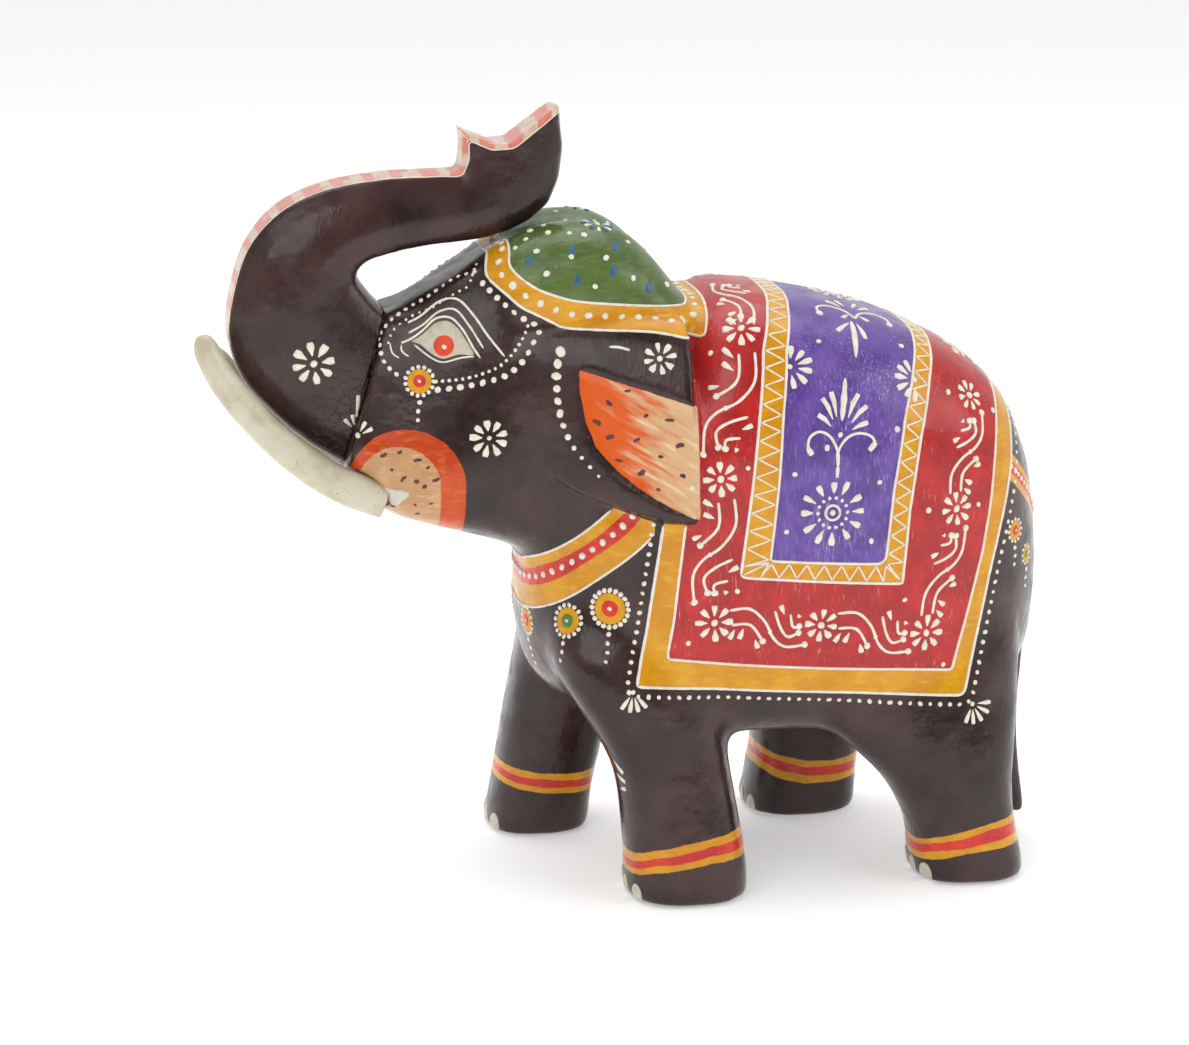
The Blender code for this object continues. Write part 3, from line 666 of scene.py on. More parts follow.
class Sheet:
    """Flat drawing axes on the surface round one spot: across runs towards the tail, up runs upwards."""

    def __init__(self, surface, spot, turn=0.0):
        self.surface, self.spot = surface, spot
        normal = spot.normal
        up = Z if normal.z < 0.93 else Y * (1 if spot.place.y < 0 else -1)
        up = (up - normal * up.dot(normal)).normalized()
        across = up.cross(normal)
        if across.x < 0:
            across = -across
        c, s = math.cos(math.radians(turn)), math.sin(math.radians(turn))
        self.across, self.up = across * c + up * s, up * c - across * s

    def at(self, u, v):
        return self.surface.under(self.spot.place + self.across * u + self.up * v, self.spot.normal)

    def polar(self, radius, angle):
        return self.at(radius * math.cos(angle), radius * math.sin(angle))

    def ring(self, radius, count):
        return [self.polar(radius, angle) for angle in turns(count)]


def turns(count):
    return [2 * math.pi * k / count for k in range(count)]


def contour(mesh, values, keep=None, level=0.0):
    """Lines along the mesh where the values cross a level, as chains of spots."""
    mesh.calc_loop_triangles()
    corners = np.empty(len(mesh.loop_triangles) * 3, np.int64)
    mesh.loop_triangles.foreach_get("vertices", corners)
    corners = corners.reshape(-1, 3)
    corners = corners[~np.isnan(values[corners]).any(axis=1)]
    over = values[corners] > level
    ends = {}  # each crossed edge, with the crossed edges of the triangles on it
    for triangle in corners[over.any(axis=1) & ~over.all(axis=1)]:
        sides = zip(triangle, np.roll(triangle, -1))
        first, second = (
            (min(a, b), max(a, b)) for a, b in sides if (values[a] > level) != (values[b] > level)
        )
        ends.setdefault(first, []).append(second)
        ends.setdefault(second, []).append(first)
    places, ups = coordinates(mesh), normals(mesh)
    lines, left = [], dict.fromkeys(ends)
    while left:
        start = next((e for e in left if len(ends[e]) == 1), next(iter(left)))
        chain, ahead = [], start
        while ahead is not None:
            chain.append(ahead)
            left.pop(ahead)
            ahead = next((e for e in ends[ahead] if e in left), None)
        if start in ends[chain[-1]] and len(chain) > 2:
            chain.append(start)
        line = []
        for a, b in chain:
            t = (level - values[a]) / (values[b] - values[a])
            place = places[a] + (places[b] - places[a]) * t
            if keep is None or keep(*place):
                line.append(Spot(Vector(place), Vector(ups[a] + (ups[b] - ups[a]) * t).normalized()))
            else:
                lines.append(line)
                line = []
        lines.append(line)
    return [line for line in lines if len(line) > SHORTEST_CHAIN]


def lengths(spots):
    total = [0.0]
    for a, b in zip(spots, spots[1:]):
        total.append(total[-1] + (b.place - a.place).length)
    return total


def spaced(spots, gap):
    """Spots at even distances along a line."""
    run = lengths(spots)
    count = max(1, round(run[-1] / gap))
    made, k = [], 0
    for i in range(count + 1):
        wanted = run[-1] * i / count
        while k < len(run) - 2 and run[k + 1] < wanted:
            k += 1
        t = (wanted - run[k]) / max(run[k + 1] - run[k], 1e-6)
        place = spots[k].place.lerp(spots[k + 1].place, t)
        made.append(Spot(place, spots[k].normal.lerp(spots[k + 1].normal, t).normalized()))
    return made


def eased(spots, passes=6):
    """The same line with its small steps averaged out."""
    places = [s.place.copy() for s in spots]
    for _ in range(passes):
        middle = [(a + b + c) / 3 for a, b, c in zip(places, places[1:], places[2:])]
        places = [places[0], *middle, places[-1]]
    return [Spot(p, s.normal) for p, s in zip(places, spots)]


# ---------------------------------------------------------------- raised paint

SINK = 0.35  # how far raised paint reaches into the wood
# Sections across a bead, a drop and a patch: share of the half width, and of the height (None is the foot).
STROKE_SECTION = (
    (-1.0, None), (-0.86, 0.42), (-0.48, 0.86), (0.0, 1.0), (0.48, 0.86), (0.86, 0.42), (1.0, None),
)
DOT_SECTION = ((1.0, None), (0.95, 0.32), (0.70, 0.78), (0.34, 0.97))
PATCH_SECTION = ((1.0, None), (1.0, 0.25), (0.95, 0.8), (0.8, 1.0), (0.4, 1.0))
DOT_SIDES = 10
LEAF_STEP = 0.6
SMALL_DOT = 1.4  # radius under which a drop stands up higher


class Relief:
    """Strokes, dots and patches of one thick paint, gathered into one mesh."""

    def __init__(self, surface):
        self.surface = surface
        self.corners, self.faces = [], []

    def add_ring(self, ring):
        start = len(self.corners)
        self.corners += ring
        return range(start, start + len(ring))

    def tube(self, rings):
        """Joins rings of corners and closes the first; gives the last one's numbers."""
        rows = [self.add_ring(ring) for ring in rings]
        for a, b in zip(rows, rows[1:]):
            for i in range(len(a)):
                j = (i + 1) % len(a)
                self.faces.append((a[i], a[j], b[j], b[i]))
        self.faces.append(tuple(reversed(rows[0])))
        return rows[-1]

    def dome(self, rings, top):
        last = self.tube(rings)
        tip = self.add_ring([top])[0]
        self.faces += [(last[k], last[(k + 1) % len(last)], tip) for k in range(len(last))]

    def stroke(self, spots, width, height=0.45, ends=(0.5, 0.5), bulge=None, step=0.9):
        """A bead of paint along a line. Its width follows bulge, and tapers to these shares at its ends."""
        if len(spots) < 2:
            return
        line = spaced(spots, step)
        if len(line) < 3:
            line = spaced(spots, lengths(spots)[-1] / 3)
        line = [self.surface.under(*s) for s in line]
        wander = dice.uniform(0, 50)
        reach = min(1.0, width / max(step * len(line), 0.1))
        rings = []
        for i, spot in enumerate(line):
            before, after = line[max(i - 1, 0)], line[min(i + 1, len(line) - 1)]
            along = (after.place - before.place).normalized()
            across = along.cross(spot.normal).normalized()
            t = i / (len(line) - 1)
            share = bulge(t) if bulge else 1.0
            share *= 1 + 0.22 * noise.noise(Vector((wander + i * step / 2.6, 0, 0)))
            for end, gone in zip(ends, (t, 1 - t)):
                if gone < reach:
                    share *= end + (1 - end) * math.sqrt(gone / reach)
                    break
            half, tall = 0.5 * width * share, height * min(1.0, share)
            rings.append([
                spot.place + across * (half * a) + spot.normal * (-SINK if h is None else tall * h)
                for a, h in STROKE_SECTION
            ])
        self.faces.append(tuple(self.tube(rings)))

    def leaf(self, spots, width, height=0.45, ends=(0.5, 0.9), step=LEAF_STEP):
        """A petal or a leaf: thin where it starts, full and round where it ends."""
        self.stroke(spots, width, height, ends, drop_shape, step)

    def dot(self, spot, radius, height=None):
        """A drop of paint, a little out of round."""
        height = (0.55 if radius < SMALL_DOT else 0.4) * radius if height is None else height
        side = spot.normal.orthogonal().normalized()
        other = spot.normal.cross(side)
        squash, lean = dice.uniform(0.88, 1.12), dice.uniform(0, math.pi)
        rings = []
        for share, tall in DOT_SECTION:
            foot = spot.place + spot.normal * (-SINK if tall is None else height * tall)
            ring = []
            for a in turns(DOT_SIDES):
                r = radius * share * (squash if abs(math.cos(a - lean)) > 0.7 else 1 / squash)
                ring.append(foot + (side * math.cos(a) + other * math.sin(a)) * r)
            rings.append(ring)
        self.dome(rings, spot.place + spot.normal * height)

    def patch(self, outline, centre, height):
        """A flat field of thick paint inside a ring of spots."""
        rings = []
        for share, tall in PATCH_SECTION:
            inner = [centre.place.lerp(spot.place, share) for spot in outline]
            found = [self.surface.under(place, centre.normal) for place in inner]
            lift = -SINK if tall is None else height * tall
            rings.append([spot.place + spot.normal * lift for spot in found])
        self.dome(rings, centre.place + centre.normal * height)

    def build(self, name, material):
        mesh = bpy.data.meshes.new(name)
        mesh.from_pydata([p * MM for p in self.corners], [], self.faces)
        mesh.validate()
        shell = bmesh.new()
        shell.from_mesh(mesh)
        bmesh.ops.recalc_face_normals(shell, faces=shell.faces)
        shell.to_mesh(mesh)
        shell.free()
        mesh.shade_smooth()
        mesh.materials.append(material)
        obj = bpy.data.objects.new(name, mesh)
        bpy.context.scene.collection.objects.link(obj)
        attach(obj, "root")
        return obj


# ---------------------------------------------------------------- motifs


def drop_shape(t):
    """Share of the width along a petal: a thin start and a full, round end."""
    return 0.35 + 0.65 * math.sin(min(1.0, t * 1.25) * math.pi / 2) ** 1.5


def spindle(t):
    return 0.25 + 0.75 * math.sin(math.pi * (0.12 + 0.8 * t))


def toward(a, b, share, share_up=None):
    """The point this share of the way from a to b, with another share upwards where it is given."""
    return a[0] + (b[0] - a[0]) * share, a[1] + (b[1] - a[1]) * (share if share_up is None else share_up)


def petals(relief, sheet, count, inner, outer, width, first=90.0, span=360.0):
    gaps = count if span == 360.0 else count - 1
    for k in range(count):
        angle = math.radians(first + span * k / gaps) + dice.uniform(-0.05, 0.05)
        far = outer * dice.uniform(0.93, 1.05)
        line = [sheet.polar(reach, angle) for reach in (inner, (inner + far) / 2, far)]
        relief.leaf(line, width * dice.uniform(0.9, 1.1), 0.5, (0.5, 0.75))


def flower(relief, sheet, radius, count=8, heart=1.2):
    petals(relief, sheet, count, radius * 0.38, radius, radius * 0.42)
    relief.dot(sheet.at(0, 0), heart)


def big_flower(relief, sheet, radius):
    petals(relief, sheet, 12, radius * 0.60, radius, radius * 0.22)
    for spot in sheet.ring(radius * 0.46, 14):
        relief.dot(spot, 0.62)
    circle = sheet.ring(radius * 0.23, 16)
    relief.stroke([*circle, circle[0]], 0.9, 0.42, (0.9, 0.9))
    relief.dot(sheet.at(0, 0), 1.0)


# One scroll of the cloth between two flowers: share of the way, and millimetres to the side.
SCROLL_STROKES = (
    ((0.13, 4.4), (0.31, 5.2), (0.46, 1.2), (0.56, -4.6), (0.68, -7.4), (0.86, -6.6)),
    ((0.16, -0.5), (0.33, -0.2), (0.46, -5.6)),
    ((0.55, 4.7), (0.61, -0.6), (0.69, -4.0), (0.79, -2.6)),
    ((0.70, 3.6), (0.73, -0.6), (0.79, -0.4)),
)
SCROLL_LEAVES = (
    ((0.15, -5.2), (0.19, -2.0)), ((0.24, -5.0), (0.27, -1.6)), ((0.79, 3.4), (0.77, 2.4)),
    ((0.60, 6.6), (0.64, 3.6)), ((0.42, -8.0), (0.39, -5.2)),
)


def scroll(relief, start, end, place, wide=1.0):
    """An S-shaped tendril with leaves, between two points of the plane that place turns into spots."""
    (ax, az), (bx, bz) = start, end
    length = math.hypot(bx - ax, bz - az)
    dx, dz = (bx - ax) / length, (bz - az) / length

    def spots(points):
        line = [(share * length, off * wide) for share, off in smooth_line(points, 5)]
        return [place(ax + dx * run - dz * off, az + dz * run + dx * off) for run, off in line]

    for points in SCROLL_STROKES:
        line = spots(points)
        relief.stroke(line, 1.05, 0.45, (0.7, 0.8))
        relief.dot(line[-1], 1.15)
        if points is SCROLL_STROKES[0]:
            relief.dot(line[len(line) // 2], 0.8)
    for points in SCROLL_LEAVES:
        relief.leaf(spots(points)[::-1], 1.95)


def dotted(relief, spots, gap, radius, last=None):
    """A row of dots; the radius runs to last where that is given."""
    row = spaced(spots, gap)
    for k, spot in enumerate(row):
        size = radius if last is None else radius + (last - radius) * k / (len(row) - 1)
        relief.dot(relief.surface.under(*spot), size * dice.uniform(0.86, 1.12))


def medallion(paints, sheet, radius, middle, drops):
    """An ochre disc with a red or green middle, a ring of dots round it and dots that hang from it."""
    place, normal = sheet.spot
    paints["ochre"].patch(sheet.ring(radius * 0.80, 16), sheet.spot, 0.22)
    paints[middle].patch(sheet.ring(radius * 0.44, 12), Spot(place + normal * 0.1, normal), 0.34)
    white = paints["white"]
    white.dot(sheet.at(0, 0), radius * 0.13, 0.7)
    for spot in sheet.ring(radius * 0.93, max(10, round(radius * 3))):
        white.dot(spot, 0.10 * radius + 0.24)
    for k in range(drops):
        white.dot(sheet.at(dice.uniform(-0.3, 0.3), -(radius + 1.8 + 2.8 * k)), 0.84 - 0.07 * k)


# ---------------------------------------------------------------- decoration

FLOWERS = [(30, 186.5, 6), (21, 141, 5.5), (19.5, 94, 6), (54, 92, 5.5), (90, 86.5, 6),
           (99.5, 127, 5.5), (105.5, 162, 5)]  # x, z, radius
CLOTH_DOTS = [(20, 179), (12, 138.5), (29.5, 144.5), (26.5, 104.5), (11.5, 87), (82, 98.5), (89.5, 127.5),
              (107.5, 127.5), (97.5, 164), (114.5, 156), (96.5, 75)]
VIOLET_DOTS = [(54.5, 182), (83, 178.5), (78.5, 154.5), (44.5, 142), (72.5, 138), (42, 123.5),
               (70, 119), (55, 150)]
FAR_FLOWER_X, FAR_SCROLL_WIDTH = 95, 0.75  # the scrolls are narrower behind this x
RIDGE_SCROLLS = ((30.5, 44.0), (108.5, 40.0))  # x, and the distance down from the ridge where they start
BIG_FLOWER, RIDGE_FLOWER_X = (57, 129), 70
STEM = (58.5, 147)
# Curls of the plant over the big flower, from its stem's top.
STEM_CURLS = (
    ((0, -3), (0, 1.5), (-2.4, 6.4), (-6, 8.2), (-9.2, 6.4), (-9.8, 2.8)),
    ((0, -3), (0, 1.5), (2.8, 5.6), (6.8, 7.1), (11, 6), (12.6, 3.4)),
)
STEM_BUDS = (((-9.8, 3.2), (-8.4, 1.0)), ((12.6, 3.8), (10.4, 1.4)))
PLANT_BASE = (0.9, 6.9)
PLANT_LEAVES = ((-7.2, 6.6), (-5.6, 11.6), (-2.6, 13.4), (6.4, 12.2), (9.0, 8.4), (9.2, 3.4))
PLANT_MIDDLE = (2.4, 17.2)
# The plant that hangs from the ridge: x from its middle, and the distance down from the ridge.
HANGING_X = 69.5
HANGING_MIDDLE = ((-1.9, 35.0), (-3.3, 50.0))
HANGING_LEAVES = (((-2.9, 36.0), (-7.9, 40.5)), ((-0.3, 36.0), (1.3, 43.0)))
HANGING_CURL = ((0, 33.0), (3, 28.0), (8, 26.0), (12, 28.5), (12, 32.5))
HANGING_TWIGS = ((4.5, 33.5), (7.0, 21.0), (3.4, 18.5))
HALF_FLOWERS = ((43.9, 175.3, 80.0, 7.4), (85.6, 168.9, -100.0, 7.0))  # x, z, first petal, radius
CORNER_SPRIGS = ((-6.2, 71.4, (-125, -100, -75, -50)), (106.4, 61.4, (-115, -90, -62, -30, 0)))
HIDDEN_TOP = 175  # z over which the ear and the cap hide the cloth's front edge
SHORTEST_ROW = 30


def clear_of_ear(x, y, z):
    """Where a line of the cloth isn't hidden by the ear."""
    return not (x < EAR_REAR + 1.2 and z > EAR_LOW - 0.5)


def piping(white, mesh, regions):
    """The white lines along the edges of the fields, and the dots beside and between them."""
    lines = (
        ("cloth", 1.1, lambda x, y, z: clear_of_ear(x, y, z) and not (z > HIDDEN_TOP and x < 24)),
        ("field", 1.0, lambda x, y, z: clear_of_ear(x, y, z) and not (z > HIDDEN_TOP and x < 21)),
        ("panel", 1.05, None), ("violet", 0.95, None), ("cap", 1.0, None), ("green", 0.9, None),
        ("collar", 0.9, lambda x, y, z: x < COLLAR_END - 0.6 and z < under_ear(x) - 1.7),
    )
    for name, width, keep in lines:
        for line in contour(mesh, regions[name], keep):
            white.stroke(eased(line), width, 0.42, (0.6, 0.6), step=1.0)
    for line in contour(mesh, regions["cloth"], clear_of_ear, -3.0):
        if lengths(line)[-1] > SHORTEST_ROW:
            dotted(white, eased(line), 3.35, 0.78)
    collar = np.where(regions["collar_red"] > 0, regions["collar_middle"], np.nan)
    strap = np.where(regions["crupper_red"] > 0, strap_height(*np.abs(coordinates(mesh)[:, 1:]).T), np.nan)
    for values, gap, radius in (
        (regions["cap"] + regions["green"], 5.3, 1.2), (collar, 4.5, 1.15), (strap, 2.9, 0.9),
    ):
        for line in contour(mesh, values):
            dotted(white, eased(line), gap, radius)
    zigzag(white, mesh, regions)


def strap_height(y, z):
    """Height above the crupper strap's middle line, seen from behind."""
    return z - np.interp(y, *zip(*CRUPPER[::-1]))


def zigzag(white, mesh, regions):
    """The thin white zigzag between the two edges of the inner frame."""
    inner = [s for line in contour(mesh, regions["violet"], level=-0.7) for s in line]
    inner_tree = BVHTree.FromPolygons(
        [p for s in inner for p in (s.place, s.place + s.normal * 0.01, s.place + Vector((0.01, 0.01, 0)))],
        [(3 * i, 3 * i + 1, 3 * i + 2) for i in range(len(inner))],
    )
    for line in contour(mesh, regions["panel"], level=0.7):
        row = spaced(eased(line), 2.9)
        row[1::2] = [Spot(inner_tree.find_nearest(s.place)[0], s.normal) for s in row[1::2]]
        for a, b in zip(row, row[1:]):
            white.stroke([a, b], 0.62, 0.34, (0.9, 0.9))


def cloth_motifs(white, flank):
    for x, z, radius in FLOWERS:
        flower(white, flank.sheet(x, z, dice.uniform(-10, 10)), radius)
    for start, end in zip(FLOWERS, FLOWERS[1:]):
        scroll(white, start[:2], end[:2], flank.spot, FAR_SCROLL_WIDTH if end[0] > FAR_FLOWER_X else 1.0)
    for x, z in CLOTH_DOTS + VIOLET_DOTS:
        white.dot(flank.spot(x, z), dice.uniform(0.8, 1.05))
    for x, foot in RIDGE_SCROLLS:
        scroll(white, (x, foot), (x + 2, 6.0), flank.over_back, 0.8)


def violet_motifs(white, flank):
    """The plant over the big flower, a simpler one that hangs from the ridge, and two half flowers."""
    x, z = STEM

    def spots(*points):
        return [flank.spot(x + u, z + v) for u, v in points]

    big_flower(white, flank.sheet(*BIG_FLOWER), 10.6)
    white.stroke(spots((-0.2, -6.6), (0, -2.8)), 1.3, 0.45, (0.9, 0.4), None, LEAF_STEP)
    for points in STEM_CURLS:
        white.stroke(spots(*smooth_line(points, 5)), 1.0, 0.45, (0.8, 0.9))
    for points in STEM_BUDS:
        white.stroke(spots(*points), 2.1, 0.6, (0.8, 0.8), None, LEAF_STEP)
    white.dot(spots(PLANT_BASE)[0], 0.9)
    base_u, base_v = PLANT_BASE
    for u, v in PLANT_LEAVES:
        tip = (base_u + u, base_v + v)
        near, sag = toward(PLANT_BASE, tip, 0.42), toward(PLANT_BASE, tip, 0.7, 0.78)
        white.leaf(spots(near, sag, tip), 1.8, 0.5)
    tip = (base_u + PLANT_MIDDLE[0], base_v + PLANT_MIDDLE[1])
    white.stroke(spots(toward(PLANT_BASE, tip, 0.25), tip), 2.2, 0.55, (0.4, 0.5), spindle, LEAF_STEP)
    hanging_plant(white, flank)
    for x, z, first, radius in HALF_FLOWERS:
        sheet = flank.sheet(x, z)
        petals(white, sheet, 6, radius * 0.38, radius, radius * 0.30, first, -160.0)
        white.dot(sheet.at(0, 0), 0.9)


def hanging_plant(white, flank):
    def spots(points, way=1):
        return [flank.over_back(HANGING_X + u * way, girth) for u, girth in points]

    white.stroke(spots(HANGING_MIDDLE), 2.2, 0.55, (0.5, 0.5), spindle, LEAF_STEP)
    for points in HANGING_LEAVES:
        white.leaf(spots(points), 1.8, 0.5)
    for way in (-1, 1):
        line = spots(smooth_line(HANGING_CURL, 5), way)
        white.stroke(line, 1.0, 0.42, (0.8, 0.9))
        white.dot(line[-1], 1.3)
        for u, girth in HANGING_TWIGS:
            white.leaf(spots(((0.4 * u, 0.5 * (girth + 28)), (u, girth)), way), 1.7, 0.5)


def corner_sprigs(white, flank):
    for x, z, fan in CORNER_SPRIGS:
        sheet = flank.sheet(x, z)
        white.dot(sheet.at(0, 0), 0.8)
        for turn in fan:
            line = [sheet.polar(reach, math.radians(turn)) for reach in (1.8, 6.6)]
            white.leaf(line, 1.6, 0.45, (0.4, 0.85))


EYE = (-62.5, 181)
EYE_OUTLINE = [(-72.5, 182), (-69, 184), (-65, 187.5), (-61, 188.5), (-58, 186.5), (-55.5, 182.5),
               (-53.5, 178.5), (-58, 178.5), (-63, 177), (-66.5, 178.5), (-69.5, 181)]
IRIS_RADIUS = 3.5
LIDS = (
    ((-75.5, 181.5), (-72, 183), (-68.5, 185.5), (-64.5, 189), (-60, 189.5), (-56.5, 186), (-53.5, 180.5),
     (-51.5, 177.5)),
    ((-73, 184.5), (-68.5, 187), (-63.5, 191), (-58.5, 192), (-55, 188), (-52.5, 184), (-50.5, 180.5)),
    ((-73, 187.5), (-69, 189.5), (-63, 194), (-57.5, 195), (-53, 190.5), (-49, 184.5), (-44, 178)),
)
LASHES = (((-79, 181.5), (-78.5, 178.5), (-76.5, 177)), ((-75.5, 181), (-75.5, 179), (-73.5, 177.5)),
          ((-71.5, 181), (-67, 177.5), (-63, 176), (-57.5, 177.5), (-53.5, 178)))
LID_WIDTHS = (0.8, 0.75, 0.85)
# Rows of dots round the eye: from the forehead's edge down to the medallion, and from the cap to it.
EYE_ROWS = (
    ([(-51.5, 203), (-57, 201), (-62.5, 197.5), (-67, 194.5), (-73.5, 191), (-79.5, 187), (-82, 181),
      (-81, 175.5), (-77.5, 172)], 2.9, 0.74),
    ([(-50.5, 205), (-51.5, 203.5), (-53, 200.5)], 1.9, 0.55),
    ([(-54.5, 198.5), (-60, 195.5), (-65.5, 192), (-71.5, 189.5), (-77.5, 185.5), (-79.5, 181.5)], 2.4, 0.5),
    ([(-49.5, 200), (-45, 195.5), (-39, 190.5), (-33, 187), (-34.5, 183.5), (-37, 179), (-39.5, 175.5),
      (-44, 172), (-50.5, 170), (-57.5, 168.5), (-65, 167.5)], 3.7, 1.02),
    ([(-36.5, 187.5), (-38, 184), (-41, 179.5), (-45, 175.5), (-50, 173), (-57, 171), (-65.5, 170)],
     2.2, 0.62),
)
MEDALLION = (-70.5, 170)
CHEEK_FLOWER = (-49.5, 152.5)
EAR_FLOWER = (3, 178.5)
EAR_ROW = [(-27, 180), (-28.5, 174), (-28.5, 167.5), (-28, 162), (-26.5, 156), (-24, 150.5), (-20.5, 146),
           (-16.5, 141.5)]
EAR_DASH = [(-12.2, 181.8), (-9, 181.7), (-6, 180.9)]
DISH_FLECKS = [(-7, 168.5), (-12.5, 164.5), (-1.5, 160.5), (5.5, 159.5), (-16.5, 158), (-12.5, 153.5),
               (-4.5, 153), (2.5, 148), (-3.5, 143), (1.5, 137.5), (-10, 146.5), (8.5, 151.5), (9, 142)]
CHEEK_FLECKS = [(-77.5, 148), (-82.5, 147), (-80, 142.5), (-72, 145.5), (-69, 143.5), (-76.5, 139.5),
                (-72.5, 139), (-70, 137), (-66.5, 139.5), (-73, 131), (-72, 127.5), (-68, 131.5),
                (-80, 130.5)]
TRUNK_FLOWER = (-103, 175)
TRUNK_SPRIG = (-90, 152.5)
SPRIG_TIPS = [(-93.5, 156.5), (-91, 158), (-89, 164.5), (-87.5, 157), (-85.5, 155)]
FILLER = (-79.4, 133.6)
CAP_DOTS = [(-39, 211), (-35.5, 213.5), (-33.5, 215.5), (-28.5, 215.5), (-33, 210.5), (-22.5, 209),
            (-17.5, 215), (-11.5, 208.5), (-30.5, 204), (-15.5, 200), (-3, 202), (9, 198.5)]
CAP_DROPS = [(-22, 211), (-7.5, 211.5), (-9.5, 204.5), (-21, 202), (2, 199), (-35.5, 208)]
CAP_TOP = (-12, 17.5)  # x, and the distance from the middle
CAP_TOP_DOTS = ((-17, 2), (-10, -6), (9, -5), (16, 3), (-9, 8), (8, 9))
CHEST = ((-12.5, 97.5, 6.5, "red", 4), (-25, 92, 5.5, "green", 3))  # x, z, radius, middle, hanging dots
CHEST_FRONT = (15.0, 87.0)  # distance from the middle, z
RUMP = ((122.8, 116.1, 4.0, "red", 3), (128.6, 106.4, 3.4, "green", 3))
# The toenails' x and y, foot by foot.
TOES = ((-6, -50), (-8, -41), (-7.5, -32), (91.5, -47), (89.5, -39), (90, -30),
        (-42, 27), (-43.5, 36), (-42, 45), (49, 32), (48, 41), (49, 50))
TOE_HEIGHT = 3.2
LEG_SPRIG = (((-43, 46.5), (-46.5, 43)), ((-41.5, 41.5), (-46.5, 40)), ((-42, 36.5), (-46, 37.5)))  # y, z


def flecks(brown, flank, points, size):
    for x, z in points:
        sheet = flank.sheet(x, z, dice.uniform(-50, 50))
        length = size * dice.uniform(0.5, 1.4)
        line = [sheet.at(-length / 2, 0), sheet.at(0, dice.uniform(-0.5, 0.5)), sheet.at(length / 2, 0)]
        brown.stroke(line, size * dice.uniform(0.45, 0.85), 0.12, step=0.4)


def head_motifs(paints, flank):
    white = paints["white"]
    sheet = flank.sheet(*EYE)
    place, normal = sheet.spot
    paints["eye_white"].patch(flank.line([*EYE_OUTLINE, EYE_OUTLINE[0]], 3)[:-1], sheet.spot, 0.3)
    paints["iris"].patch(sheet.ring(IRIS_RADIUS, 18), Spot(place + normal * 0.15, normal), 0.42)
    white.dot(sheet.at(0.2, -0.4), 0.9, 0.9)
    for points, width in zip(LIDS, LID_WIDTHS):
        white.stroke(flank.line(points), width, 0.42, (0.9, 0.5))
    for points in LASHES:
        white.stroke(flank.line(points), 0.62, 0.38, (0.5, 0.8))
    for points, gap, radius in EYE_ROWS:
        dotted(white, flank.line(points), gap, radius)
    medallion(paints, flank.sheet(*MEDALLION), 4.9, "red", 3)
    flower(white, flank.sheet(*CHEEK_FLOWER, 8), 6.0, 9, 0.8)
    flower(white, flank.sheet(*EAR_FLOWER, 12), 5.2, 8, 1.0)
    dotted(white, flank.line(EAR_ROW), 3.9, 1.75, 0.6)
    white.stroke(flank.line(EAR_DASH), 0.9, 0.42, (0.4, 0.9))
    flecks(paints["brown"], flank, DISH_FLECKS, 2.3)
    flecks(paints["brown"], flank, CHEEK_FLECKS, 2.0)
    flower(white, flank.sheet(*TRUNK_FLOWER, 10), 6.9, 8, 1.2)
    white.dot(flank.sheet(*TRUNK_SPRIG).at(0, 0), 1.05)
    for tip in SPRIG_TIPS:
        white.leaf([flank.spot(*toward(TRUNK_SPRIG, tip, 0.3)), flank.spot(*tip)], 1.5, 0.45, (0.4, 0.9))


def cap_motifs(paints, flank):
    white, blue = paints["white"], paints["blue"]
    for x, z in CAP_DOTS:
        white.dot(flank.spot(x, z), dice.uniform(0.85, 1.15))
    for x, z in CAP_DROPS:
        sheet = flank.sheet(x, z, dice.uniform(-30, 5))
        blue.leaf([sheet.at(0.4, 2.2), sheet.at(0, 0), sheet.at(-0.2, -1.7)], 2.5, 0.10, (0.4, 0.8), 0.5)
    x, y = CAP_TOP
    sheet = Sheet(flank.surface, flank.surface.above(x, flank.side * y))
    petals(white, sheet, 6, 2.2, 5.2, 1.5)
    petals(blue, sheet, 6, 2.2, 5.0, 1.7, 60)
    white.dot(sheet.at(0, 0), 1.0)
    for u, v in CAP_TOP_DOTS:
        white.dot(flank.surface.above(x + u, flank.side * (y - v)), 0.85)


def chest_motifs(paints, flank):
    y, z = CHEST_FRONT
    front = flank.surface.ray(Vector((-120.0, flank.side * y, z)), X)
    sheets = [(flank.sheet(x, z), radius, middle, drops) for x, z, radius, middle, drops in CHEST + RUMP]
    sheets.insert(len(CHEST), (Sheet(flank.surface, front), 4.9, "red", 4))
    for sheet, radius, middle, drops in sheets:
        medallion(paints, sheet, radius, middle, drops)


def leg_sprig(white, flank):
    """The small leaves on the front outer corner of each front leg."""
    for points in LEG_SPRIG:
        line = [flank.surface.ray(Vector((-70.0, -flank.side * y, z)), X) for y, z in points]
        white.leaf(line, 1.6, 0.4)


def filler(nail, flank):
    """The whitish filler pressed in behind the root of a tusk."""
    sheet = flank.sheet(*FILLER)
    outline = []
    for angle in turns(16):
        reach = 1 + 0.25 * math.sin(3 * angle + 0.6)
        outline.append(sheet.at(4.2 * reach * math.cos(angle), 3.1 * reach * math.sin(angle)))
    nail.patch(outline, sheet.spot, 0.25)


def toenails(nail, surface):
    """Three off-white nails along the front of each foot."""
    for x, y in TOES:
        sheet = Sheet(surface, surface.ray(Vector((x - 40.0, y, TOE_HEIGHT)), X))
        width, top = dice.uniform(2.6, 3.1), dice.uniform(4.6, 5.4)
        outline = [sheet.at(width * math.cos(a), -0.4 + top * 0.75 * math.sin(a)) for a in turns(12)]
        nail.patch(outline, sheet.spot, 0.30)


